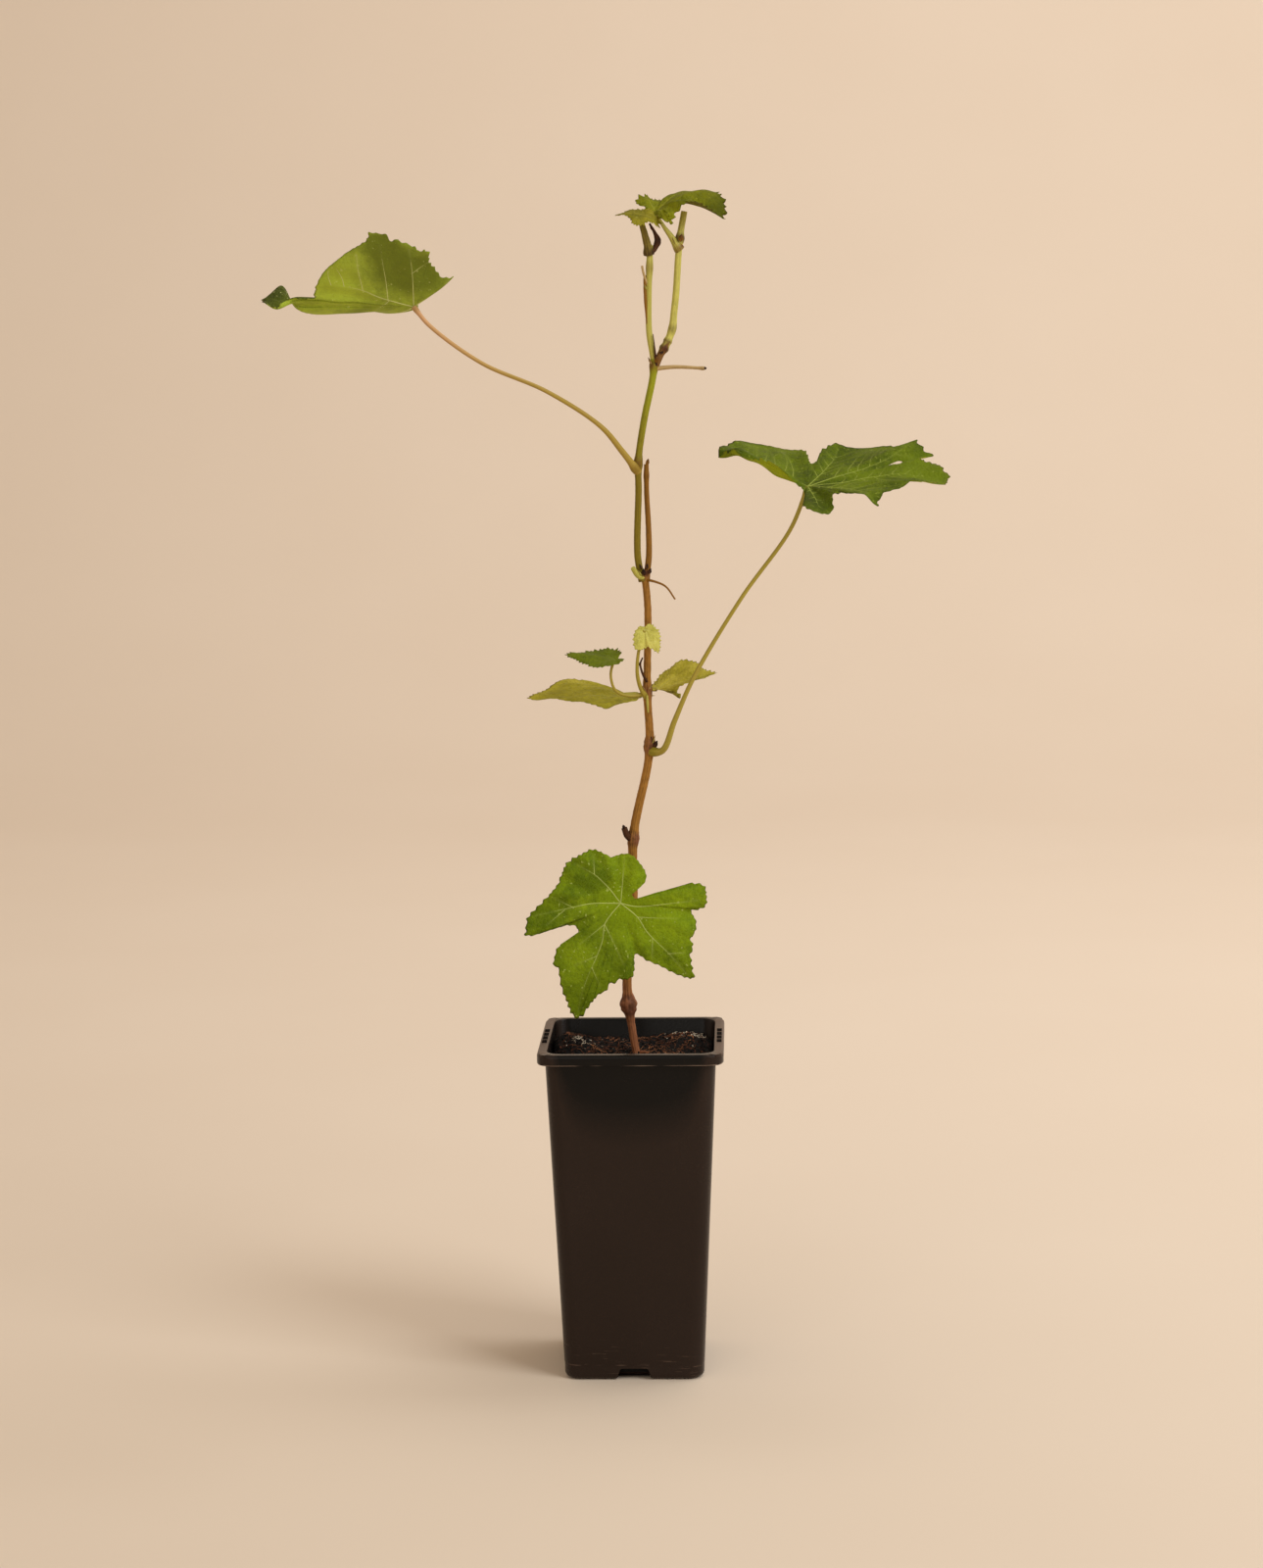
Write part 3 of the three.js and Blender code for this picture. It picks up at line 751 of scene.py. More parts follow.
# %% Stem finishes
def stem_finish(name, tone, streak, knot_tone, fibre, roughness, flecks=0.3, upper_tone=None, between=None):
    tone, streak, knot_tone = (screen(*c) for c in (tone, streak, knot_tone))
    stem = Finish(name, {"Specular IOR Level": 0.18})
    grain = stem.attribute("grain", "Vector")
    fibres = stem.noise(stem.stretched(grain, (4.5, 4.5, 0.35)), 1.0, 5.0, 0.6)
    patches = stem.noise(stem.stretched(grain, (0.8, 0.8, 0.8)), 1.0, 3.0)
    pores = stem.noise(stem.stretched(grain, (7, 7, 3)), 1.0, 2.0).ramp(0.66, 0.72) * flecks
    colour = stem.mix(tone, (streak, fibres.ramp(0.42, 0.62) * (0.35 + fibre * 0.6)))
    if upper_tone:
        upper = stem.mix(screen(*upper_tone), (streak, fibres.ramp(0.5, 0.7) * 0.35))
        colour = stem.mix(colour, (upper, (stem.along(2) + (patches - 0.5) * 0.03).ramp(*between)))
    knot = stem.mix(knot_tone, (colour, patches.ramp(0.35, 0.65, 0.0, 0.5)))
    # The last layer is painted shade: a near black in the furrows where the relief is low.
    colour = stem.mix(colour, (knot, stem.attribute("knot").ramp(0.15, 0.8)), (knot_tone, pores),
                      ((0.012, 0.007, 0.003), stem.attribute("ridge").ramp(0.15, 0.6, 0.45 * fibre, 0.0)))
    return stem.finish({"Base Color": colour,
                        "Roughness": fibres.ramp(0.3, 0.7, roughness - 0.08, roughness + 0.12),
                        "Normal": stem.bump(fibres + patches * 0.3, 0.25 + fibre * 0.5, 0.0003)})


old_bark = stem_finish("old_bark", (172, 110, 70), (82, 40, 25), (118, 72, 50), 0.9, 0.6, 0.4,
                       (162, 112, 44), (0.236, 0.27))
brown_shoot = stem_finish("brown_shoot", (146, 100, 28), (104, 64, 12), (96, 58, 20), 0.7, 0.5)
green_shoot = stem_finish("green_shoot", (130, 112, 24), (96, 74, 14), (112, 78, 26), 0.4, 0.42, 0.2,
                          (150, 150, 26), (0.59, 0.64))
young_shoot = stem_finish("young_shoot", (200, 190, 92), (128, 122, 38), (116, 72, 30), 0.5, 0.4, 0.25)
stalk_skin = stem_finish("stalk_skin", (172, 154, 62), (134, 114, 40), (138, 124, 26), 0.3, 0.42, 0.2)
pink_stalk = stem_finish("pink_stalk", (172, 146, 62), (140, 106, 44), (132, 104, 34), 0.3, 0.42, 0.2,
                         (204, 156, 108), (0.64, 0.685))
dry_skin = stem_finish("dry_skin", (206, 176, 120), (132, 96, 56), (62, 40, 26), 0.6, 0.8, 0.2)
dead_skin = stem_finish("dead_skin", (92, 56, 32), (38, 22, 16), (26, 16, 12), 1.0, 0.85)
forked_shoot = stem_finish("forked_shoot", (136, 96, 44), (84, 50, 24), (84, 46, 24), 0.7, 0.5, 0.3,
                           (200, 190, 92), (0.664, 0.669))
withered = stem_finish("withered", (138, 122, 50), (84, 58, 30), (70, 44, 24), 1.0, 0.75, 0.3,
                       (124, 118, 24), (0.735, 0.748))
print("stem finishes ready")

# %% [markdown]
# The trunk comes out of the peat as an old cut-back rod with a knuckle at its foot. Above
# it the one-year cane carries on with thin shredding bark, then greener shoots, and the
# newest growth is yellow-green. Each limb starts inside the one that bears it, as a
# branch's wood does, so no gap shows at the fork.

# %% Stems
limb("trunk",
     [(4, 14, soil_top / mm - 6), (2, 14, soil_top / mm), (-2.6, 13, 236), (-3.6, 12, 254), (1, 10, 307),
      (2, 8, 351), (13, 5, 406), (12, 7, 446), (13, 6, 500), (11, 6, 524)],
     (2.5, 2.45, 3.0, 3.1, 3.05, 3.0, 2.9, 2.8, 2.7, 2.6, 2.5, 2.4, 2.3, 2.25, 2.2), old_bark, "old_bark", 3,
     [(0.118, 2.9, 5.4), (0.46, 1.0, 5), (0.652, 1.3, 5), (0.76, 0.7, 5), (1, 0.9, 5)],
     sides=48, ridge=0.16, ridge_count=9, lumps=0.6, step=0.9)
limb("main_shoot",
     [(10, 6, 517), (7, 5, 532), (8, 4, 576), (8, 4, 594), (12, 4, 620), (18, 5, 648), (19, 5, 659)],
     (2.2, 2.1, 2.2), green_shoot, "green_shoot", 5, [(0, 0.6, 5), (0.53, 0.9, 4.5), (0.97, 0.8, 4)],
     sides=36, ridge=0.07, lumps=0.3)
limb("side_shoot", [(12, 7, 518), (14, 8, 532), (14, 9, 551), (13, 10, 574), (13, 10, 592)],
     (2.1, 1.8, 1.5), brown_shoot, "old_bark", 8, [(0, 0.5, 4), (0.9, 0.3, 3)],
     sides=30, ridge=0.09, lumps=0.3)
limb("left_shoot",
     [(19, 5, 652), (18, 5, 662), (16, 4, 676), (16, 3, 700), (17, 3, 726), (17, 2, 731)],
     (2.0, 1.9, 1.9), young_shoot, "green_shoot", 11, [(0.82, 0.5, 5)], sides=30, ridge=0.06)
limb("right_shoot",
     [(19, 5, 653), (22.5, 5, 661), (27, 5.5, 669), (30.6, 6.5, 678), (31.8, 7, 688), (33.2, 7, 700),
      (36, 8, 735), (39, 9, 752)],
     (2.3, 2.2, 2.1, 2.0), forked_shoot, "green_shoot", 13,
     [(0.14, 0.9, 2), (0.19, 0.7, 1.5), (0.27, 0.5, 4), (0.83, 1.0, 3)], sides=30, ridge=0.06, lumps=0.15)

# %% [markdown]
# Every leaf hangs on a stalk that is thick at the stem, thinnest halfway and swollen again
# under the blade. All nine share one recipe, and the withered stalk at the tip of the left
# shoot is more deeply ridged.

# %% Leaf stalks
for number, (part, path, radius, finish, ridge, lumps) in enumerate((
        ("front", [(0, 10, 292), (-3, -4, 300), (-6, -26, 313), (-5.5, -43.5, 315)],
         (1.8, 1.3, 1.15), stalk_skin, 0.04, 0),
        ("right", [(13, 5, 406), (22, -2, 408), (30, -8, 428), (43, -12, 457), (74, -16, 508),
                   (105, -18, 551), (116, -18, 577.6)], (2.3, 1.5, 1.3, 1.3, 1.35), stalk_skin, 0.04, 0),
        ("left", [(8, 4, 587), (-2, -4, 601), (-15, -10, 617), (-49, -20, 640), (-89, -24, 658),
                  (-122, -22, 682), (-132, -20, 693.8)], (2.3, 1.5, 1.3, 1.3, 1.35), pink_stalk, 0.04, 0),
        ("top", [(35.8, 7.6, 728), (33.2, 6, 732), (30.4, 4, 736.5), (26.4, 2, 742), (21, 0, 750.6)],
         (2.6, 2.0, 1.2, 1.0), young_shoot, 0.04, 0),
        ("tip", [(16.6, 3, 725), (15.4, 1, 732), (14, -1, 738), (12.6, -4, 744), (14, -8, 749.2)],
         (2.5, 2.3, 1.9, 1.0), withered, 0.2, 0.5),
        ("young", [(12, 7, 441), (8, 2, 448), (6, -2, 458), (7, -4, 472), (11, -4, 486)],
         (1.6, 1.1, 0.9), stalk_skin, 0.03, 0),
        ("upper_left", [(12, 7, 444), (1, 2, 443), (-8, -3, 447), (-11, -6, 457), (-9, -6, 467.6)],
         (1.2, 0.9, 0.8), stalk_skin, 0.03, 0),
        ("lower_left", [(12, 7, 446), (8, 14, 443), (3.5, 16, 441)], (1.3, 1.0, 0.9), stalk_skin, 0.03, 0),
        ("lower_right", [(12, 7, 448), (15, 12, 446), (18, 13, 446)], (1.2, 1.0, 0.9), stalk_skin, 0.03, 0))):
    limb("stalk_" + part, path, radius, finish, "leaf_stalk", 21 + number,
         ((0.02, 0.9, 4), (0.99, 0.5, 3)), ridge=ridge, lumps=lumps)

# %% [markdown]
# Dry and cut remains tell how the vine was grown: the stub of a pruned shoot, the stump of
# a cut stalk, tendrils, and a dead tip beside the last leaf.

# %% Dry and cut remains
limb("pruning_stub", [(2, 8, 347), (-2, 6, 351), (-4, 5, 356)], (2.6, 2.2, 1.9),
     dead_skin, "dry_remains", 31, sides=24, ridge=0.2, lumps=0.5, step=0.6)
limb("cut_stalk", [(11, 6, 519), (7, 2, 521), (4, -2, 526)], (2.1, 1.7, 1.6),
     young_shoot, "leaf_stalk", 32, sides=24, ridge=0.06, step=0.8)
limb("tendril", [(12, 5, 518), (18, 1, 517), (25, -2, 514), (31, -5, 506)], (0.9, 0.65, 0.5),
     brown_shoot, "dry_remains", 33, sides=14, ridge=0.04)
limb("dry_tendril", [(19, 5, 653), (32, 3, 654), (51, -2, 653)], (1.5, 1.2, 1.0),
     dry_skin, "dry_remains", 34, [(0.97, 0.3, 2)], sides=16, ridge=0.08, lumps=0.2)
limb("short_tendril", [(16, 3, 704), (13, 1, 713), (12, 0, 718)], (1.0, 0.8, 0.7),
     dry_skin, "dry_remains", 35, sides=14, ridge=0.06)
limb("dead_tip", [(17, 3, 726), (20, 5, 729), (22, 5, 734), (20, 4, 739), (17, 2, 744.5)],
     (1.9, 1.7, 1.1, 0.6), dead_skin, "dry_remains", 36, [(0.45, 0.5, 3)], ridge=0.25, lumps=0.8, step=0.5)

# %% [markdown]
# Smaller remains sit on the stems: strips of skin that torn side shoots leave, a sliver
# of dry bract and a withered curl. A stub of root stands out from the trunk's knuckle.

# %% Strips, sliver, curl and root stub
limb("dead_strip", [(13.6, 2.2, 712), (13.6, 2, 705), (13.9, 2, 697), (14.4, 2.5, 688), (15, 3, 680)],
     (0.9, 1.1, 0.7), brown_shoot, "dry_remains", 41, sides=12, ridge=0.1, lumps=0.3, step=0.8)
limb("sliver", [(20.4, 3.2, 655), (19.6, 2.4, 663), (18.4, 2, 675)], (1.0, 0.6, 0.25),
     dead_skin, "dry_remains", 42, sides=10, ridge=0.06, step=0.8)
limb("pale_strip", [(12, 3.2, 443), (12.2, 3.2, 438), (12.6, 3, 432)], (0.7, 0.9, 0.5),
     young_shoot, "green_shoot", 43, sides=10, step=0.8)
limb("withered_curl", [(12, 4, 452), (9.5, 1.5, 457), (8, 0.5, 464), (9.5, 0, 468)], (0.9, 0.7, 0.5),
     dead_skin, "dry_remains", 44, sides=10, ridge=0.1, lumps=0.3, step=0.6)
limb("knuckle_root", [(5, 12, 205), (8, 9, 206), (12, 6, 205.6)], (1.4, 0.9, 0.4),
     old_bark, "old_bark", 45, sides=12, ridge=0.1, lumps=0.3, step=0.8)

# %% [markdown]
# Every leaf leaves a bud at its foot. A bud is a scaly egg with a point, a bract a thin
# papery scale of the same outline. Both are drawn from one stretched ball.

# %% Buds and bracts
def egg(place, heading, length, width, flatness):
    """A pointed egg with three soft scales, by its place, its heading and its size in mm."""
    deselect()
    bpy.ops.mesh.primitive_uv_sphere_add(segments=20, ring_count=14, radius=1)
    piece = bpy.context.object
    ball = points_of(piece)
    up = (ball[:, 2] + 1) / 2
    slim = np.sqrt(np.clip(1 - (2 * up - 1) ** 2, 0, 1)) * (1.15 - 0.75 * up)
    turn = np.arctan2(ball[:, 1], ball[:, 0])
    scales = np.sin(3 * turn + 9 * up)
    girth = width / 2 * slim * (1 + 0.08 * scales)
    shape = np.stack((np.cos(turn) * girth, np.sin(turn) * girth * flatness, up * length), axis=1)
    spin = np.array(Vector(heading).to_track_quat("Z", "Y").to_matrix())
    put_points(piece, (shape @ spin.T + np.array(place)) * mm)
    store(piece, "grain", shape / 6)
    store(piece, "knot", up)
    store(piece, "ridge", 0.5 + 0.3 * scales)
    return piece


for name, finish, slot, rows in (
        ("dark_buds", dead_skin, "dry_remains", (
            ((16, 3, 409), (0.5, -0.3, 1), 5.5, 4, 0.9), ((14, 3.5, 412), (0.1, -0.2, 1), 4.5, 3, 0.8),
            ((11, 2, 521), (-0.1, -0.4, 1), 5, 3.6, 0.9), ((14, 3, 522), (0.4, -0.4, 1), 4.2, 3, 0.9),
            ((12.6, 1.6, 525), (0.2, -0.2, 1), 4, 2.6, 0.8), ((9.5, 2.6, 525), (-0.4, 0, 1), 3.6, 2.2, 0.8),
            ((-4, 5, 356), (-0.3, -0.2, 1), 2.4, 3, 0.8), ((51, -2, 653), (1, 0, 0), 1.6, 2.2, 1),
            ((10, 6, 594), (-0.6, -0.3, 1), 4, 2.6, 0.8),
            ((23.2, 3.4, 662.5), (0.7, -0.4, 0.6), 2.4, 4.2, 0.5), ((8, -2, 462), (-0.3, 0, 1), 4, 2, 0.6))),
        ("red_buds", brown_shoot, "green_shoot", (
            ((36.5, 4.6, 733.5), (0.2, -0.7, 1), 5, 4, 0.9), ((13.5, 3, 592), (0.3, -0.5, 1), 4.5, 3, 0.8),
            ((20.5, 2.4, 657), (0.1, -0.6, 1), 4.4, 3.4, 0.8))),
        ("bracts", young_shoot, "green_shoot", (
            ((33, 4.4, 731), (-0.45, -0.2, 1), 7.5, 4.4, 0.3), ((15, 3, 411), (0.35, -0.1, 1), 7, 3, 0.25),
            ((14.6, 1.8, 703), (-0.5, -0.3, 1), 4, 3, 0.6), ((9, 2, 521), (-0.5, -0.3, 0.7), 5, 3.4, 0.5))),
        ("dry_bracts", dry_skin, "dry_remains", (
            ((11, 3, 446), (-0.7, -0.4, 1), 10, 3, 0.25), ((13.4, 3, 447), (0.5, -0.4, 0.8), 5, 2.4, 0.3),
            ((17, 1.8, 656), (-0.4, -0.3, 1), 5, 2.6, 0.3)))):
    piece = joined([egg(*row) for row in rows])
    bpy.ops.object.shade_smooth()
    done(piece, name, finish, slot)

# %% [markdown]
# ## The leaves
# A vine leaf is a thin five-lobed blade on a long stalk. Its veins spread from the
# stalk like fingers, its margin is cut into teeth, and the skin between the veins puffs
# up like a quilt. Each blade starts as a ball that is flattened: the top half becomes the
# upper skin, the lower half the under skin, and the equator the toothed margin. That
# keeps it one closed, thin body whose faces all point outwards.
#
# An outline goes round the stalk point as (turn, reach, rise): degrees from the middle
# rib, millimetres out to the margin, and millimetres above the blade's plane, where a
# missing rise is 0. `at` and `tip` place the plane, which faces up unless `face` says
# otherwise, and `arch`, `bow` and `wave` bend it. A rib is a turn, or a line of places
# from the stalk point. A lift, or a tone of painted light (a highlight where its amount is
# positive, shade where it is negative), is (turn, reach, size, amount). `teeth` is how
# deep the teeth are, in mm, and a calm stretch, (turn, half width), has hardly any. A
# hole is a torn lens, given by its place, its half length, its half width and its slant.

# %% Leaf shapes
leaves = {
    "leaf_front": dict(
        at=(-5, -44, 315), tip=(-0.37, -0.05, -0.93), face=(0.05, -1, 0.2), arch=0.04, wave=1.6,
        teeth=1.2,
        outline=[(-206, 9), (-208, 20), (-202, 24), (-191, 27), (-180, 30), (-171, 32), (-163, 32),
            (-156, 31), (-149, 30), (-144, 32), (-137, 36), (-131, 39), (-123, 40), (-105, 43), (-95, 42),
            (-86, 42), (-71, 49), (-59, 61), (-53, 63), (-50, 65), (-48.5, 60), (-48, 50), (-47, 41),
            (-45.5, 36), (-42, 33), (-35, 32), (-32.5, 35), (-32.5, 40), (-33.5, 45), (-33, 51), (-30, 54),
            (-26, 59), (-23, 58), (-15, 65), (-8, 72), (-2, 79), (1, 80), (3, 73), (6, 64), (8, 60),
            (12, 57), (13, 52), (16, 52), (20, 49), (26, 49), (31, 47), (34, 39), (36, 34.5), (40, 35),
            (45, 40), (52, 46), (59, 58), (62, 63), (65, 67), (69, 62), (74, 56), (80, 54), (85, 50),
            (90, 51), (99, 49), (102, 46), (106, 46), (108, 53), (112, 55), (118, 55), (122, 55),
            (125.5, 52), (126.5, 48), (127, 38), (127.5, 25), (128, 10)],
        ribs=([(0, 0), (-20, 9), (-16, 17), (-5, 26), (-3, 37), (-3, 50), (-2, 63), (0, 78)], [(0, 0),
            (-68, 19), (-63, 35), (-60, 58)], [(0, 0), (72, 14), (64, 25), (65, 44), (64, 65)], [(0, 0),
            (-121, 13), (-117, 25), (-109, 40)], [(0, 0), (-164, 30)], [(0, 0), (100, 10), (112, 35),
            (114, 52)]),
        branches=[[(-16, 17), (-24, 38)], [(-16, 17), (10, 25), (25, 41)], [(-117, 25), (-130, 36)],
            [(72, 14), (97, 39)], [(-3, 37), (-16, 50)], [(-3, 45), (8, 56)], [(64, 30), (50, 42)],
            [(64, 44), (74, 52)], [(-63, 30), (-74, 44)], [(-62, 36), (-52, 50)]],
        tones=[(0, 4, 18, 0.7), (75, 30, 16, 0.3), (-30, 24, 12, -0.5), (0, 66, 22, -0.6),
            (-100, 36, 16, -0.15), (-60, 50, 14, -0.2), (25, 44, 12, -0.25)]),
    "leaf_right": dict(
        at=(116, -18, 578), tip=(1, 0, 0), arch=0.02, bow=1.15, wave=0.7, teeth=1.7,
        hole=(57.5, 20.5, 7.0, 3.6, 20),
        outline=[(-150, 5, -0.5), (-110, 7, -2.5), (-100, 12, -6), (-98, 24, -9.5), (-95, 33, -11.5),
            (-88, 38, -13.5), (-78, 40, -15.5), (-67, 38, -13), (-58, 30, -4), (-52, 37, -2.5),
            (-48, 52, -3), (-45.5, 61, -4), (-43, 59, -3), (-38, 59, -2), (-31, 66, -0.5), (-21, 71, 4),
            (-20, 75, 2), (-16, 76, 2), (-13, 80, 1), (-10, 83, 2), (-8, 80, 1), (-4, 87, 1), (1, 89, 3),
            (4, 91, 5), (6, 88, 7), (9, 87, 10), (13, 83, 12), (16, 76, 15), (18, 78, 16), (20, 85, 15.5),
            (22, 88, 16.5), (23.5, 82, 20), (26, 84, 22), (28, 81, 25), (31, 84, 28), (33, 84, 28),
            (37, 75, 24), (45, 70, 23), (62, 59, 22), (70, 57, 25), (76, 47, 22), (79, 31, 14),
            (84, 29.5, 13), (92, 50, 21), (103, 62, 22), (119, 71, 25), (127, 75, 27), (136, 72, 25),
            (141, 71.5, 24), (144.5, 69.5, 21), (147, 67, 14), (148, 63, 20), (149, 60, 21),
            (150.5, 58, 13.5), (151.5, 55.5, 19.5), (153, 52, 20), (154.5, 48, 17), (158, 42, 15.5),
            (163, 34, 16), (168, 27, 16), (174, 21, 13.3)],
        ribs=(3, 30, -45, -82, 68, 132),
        lifts=[(144, 53, 9, 5.5), (146, 38, 10, 4), (-45.5, 62, 7, -7.5), (-8, 62, 12, 3.5)],
        calm=[(112, 24), (55, 15), (26, 9), (148, 7), (-25, 5)],
        tones=[(-80, 25, 14, -0.9), (147, 60, 9, -0.8), (132, 40, 22, 0.25), (10, 75, 16, 0.8),
            (40, 50, 14, -0.3), (20, 35, 10, 0.3)]),
    "leaf_left": dict(
        at=(-132, -20, 694), tip=(-1, 0, 0), face=(0, 0.74, 0.67), arch=0, bow=1.5, wave=0.7, teeth=1.8,
        outline=[(-150, 2.5, 2), (-110, 6, 6), (-85, 19, 22), (-60, 33, 32), (-40, 50, 36), (-25, 60, 28),
            (-14, 66, 11), (-8, 72, 7), (-6, 80, 7), (-4.5, 91, 5), (-3, 93.5, 6), (-1.5, 98.5, 9),
            (0.3, 96, 6), (1.3, 97, 4), (2.2, 94, 3), (3, 94, 1), (4.5, 84, 4), (6, 77, 3), (6.5, 70, -2.5),
            (9, 63, -2), (14, 63), (24, 62), (39, 60), (52, 59), (61, 59.5), (66, 60.5), (69.5, 65),
            (73, 62), (78, 60), (80, 54), (82.5, 56.5), (87, 53), (92, 51), (96, 49.5), (99, 47),
            (103, 49.5), (106, 47), (108, 40), (123, 32), (130, 31), (137, 36), (143, 22, 5), (148, 11, 9),
            (160, 5, 6)],
        ribs=([(0, 0), (22, 16), (25, 34), (22, 54)], [(0, 0), (93, 26), (91, 50)], -42, 136),
        branches=[[(23, 17), (58, 30), (72, 56)], [(25, 34), (44, 45), (55, 56)], [(23, 46), (30, 50),
            (36, 57)], [(21, 54), (27, 58), (31, 60)], [(22, 16), (-14, 28)], [(92, 28), (110, 40)]],
        lifts=[(-5, 88, 8, 24), (3.5, 86, 7.5, -10)],
        calm=[(36, 27), (-20, 8)],
        tones=[(27, 50, 20, 0.9), (74, 30, 17, -1.3), (72, 54, 13, -1.2), (104, 30, 14, -0.5),
            (128, 28, 14, -0.4), (-20, 40, 14, -0.4), (-2, 92, 10, -0.6)]),
    "leaf_top": dict(
        at=(21, 0, 751), tip=(1, 0, 0), arch=0.17, wave=0.5, teeth=2.6,
        outline=[(-150, 4), (-75, 17, -4), (-66, 25, -8), (-52, 22, -1), (-42, 25, 5), (-28, 31, 5),
            (-16, 35, 2), (0, 43, -4), (8, 45, 3), (18, 43, 12), (38, 39, 12), (52, 36, 14), (70, 27, 11),
            (74, 22, 8), (100, 15, 9), (120, 15, 12), (150, 15, 7), (170, 8, 4)],
        ribs=(3, 48, -66, 120),
        tones=[(0, 42, 14, -1.0), (30, 22, 8, 0.5), (-70, 18, 8, 0.4)]),
    "leaf_tip": dict(
        at=(14, -8, 749.5), tip=(-1, 0, 0), arch=0.1, wave=0.3, teeth=1.9,
        outline=[(-160, 7, 1), (-120, 8, 4), (-80, 10, 4), (-45, 13, 3.5), (-15, 15, 1.5), (0, 18.5, -0.5),
            (22, 13.5), (50, 13, -3), (62, 15, -6), (80, 14, -7), (110, 12, -5), (135, 13, -8),
            (160, 10.5, -3)],
        ribs=(0, 66, 137, -75)),
    "leaf_upper_left": dict(
        at=(-9, -6, 468), tip=(-1, 0, 0), arch=0.03, wave=0.3, teeth=1.7,
        outline=[(-130, 8, 3), (-95, 13, 5), (-60, 16, 5), (-30, 22, 3.5), (0, 31, 3), (10, 24.5),
            (30, 20, -3), (50, 18, -4), (75, 15.5, -3.5), (110, 11, -2), (150, 8), (180, 3)],
        ribs=(0, 52, -52, 100)),
    "leaf_lower_left": dict(
        at=(4, 16, 441), tip=(-1, 0, 0), arch=0.03, wave=0.4, teeth=1.0,
        outline=[(-125, 22, -2), (-90, 28, -1), (-62, 34, -1), (-52, 42, -0.5), (-48, 45, 0.5),
            (-45, 47.5, 7), (-41, 49, 8), (-35, 54, 8), (-25, 58, 7), (-15, 61, 4), (0, 70, -1),
            (8, 53, -1), (18, 39, -2), (32, 34, -3), (52, 30, -4.5), (62, 27, -3.5), (85, 17, -1.5),
            (115, 9), (160, 5)],
        ribs=(0, -38, 52, -100)),
    "leaf_lower_right": dict(
        at=(18, 13, 446), tip=(1, 0, 0), arch=0.03, wave=0.3, teeth=1.7,
        outline=[(-110, 8), (-70, 12, 0.5), (-50, 18), (-47, 23, -5), (-42, 18, 1), (-35, 22, 4),
            (-22, 26, 6), (-10, 33, 8), (5, 39, 10.5), (18, 33, 11), (32, 33, 14), (45, 33, 16),
            (60, 30, 16), (70, 26, 12), (82, 18, 7), (120, 8, 1), (170, 3)],
        ribs=(5, 46, -47)),
    "leaf_young": dict(
        at=(11, -4, 486.5), tip=(0, -0.25, -1), face=(0, -1, 0.25), arch=0.1, wave=0.4, teeth=1.3,
        outline=[(-130, 4), (-76, 6.5), (-52, 9, 1), (-26, 14, 2), (-12, 14, 1), (0, 12.5), (11, 12, 1.5),
            (20, 13.5, 1), (31, 17.5), (52, 13), (82, 9.5), (140, 5), (180, 2)],
        ribs=(0, 31, -30, 80)),
}
print(len(leaves), "leaves")

# %% [markdown]
# The blade's plane is a map. Four small measures serve it: a place from its turn and
# reach, a row of numbers with its corners taken off, a round hill, and how far places
# lie from the nearest of some lines.

# %% Measures on a map
def flat(turn, reach):
    """The place on the plane at a turn in degrees and a reach in mm."""
    return reach * math.cos(math.radians(turn)), reach * math.sin(math.radians(turn))


def soften(row):
    """Rounds a closed row of numbers off with its neighbours, by a bell curve."""
    bell = np.exp(-(np.arange(-12, 13) / 2.0) ** 2)
    return np.convolve(np.concatenate((row[-12:], row, row[:12])), bell / bell.sum(), "valid")


def hill(x, y, turn, out, size):
    """A round hill of height 1 at a turn and a reach on the map."""
    cx, cy = flat(turn, out)
    return np.exp(-((x - cx) ** 2 + (y - cy) ** 2) / size ** 2)


def from_lines(x, y, lines):
    """How far each place lies from the nearest of some lines."""
    best = np.full(len(x), 1e9)
    for ax, ay, bx, by in np.vstack([np.hstack((line[:-1], line[1:])) for line in lines]):
        dx, dy = bx - ax, by - ay
        t = np.clip(((x - ax) * dx + (y - ay) * dy) / (dx * dx + dy * dy + 1e-9), 0, 1)
        best = np.minimum(best, np.hypot(x - ax - t * dx, y - ay - t * dy))
    return best


print("a reach of 10 mm at 45 degrees lies at", [round(side, 2) for side in flat(45, 10)])

# %% [markdown]
# For any place on the map, the nearest veins say how far the skin puffs up there, and the
# outline says how high the blade has climbed towards its margin. The same map then
# carries the veins, so they always lie in the skin. Veins that aren't drawn as branches
# grow by rule: they leave a rib at an angle and curve towards its tip.

# %% Leaf map
wave_counts, swell_rise, puff_rise, groove_depth = (7, 11, 17), 0.17, 0.4, 0.7


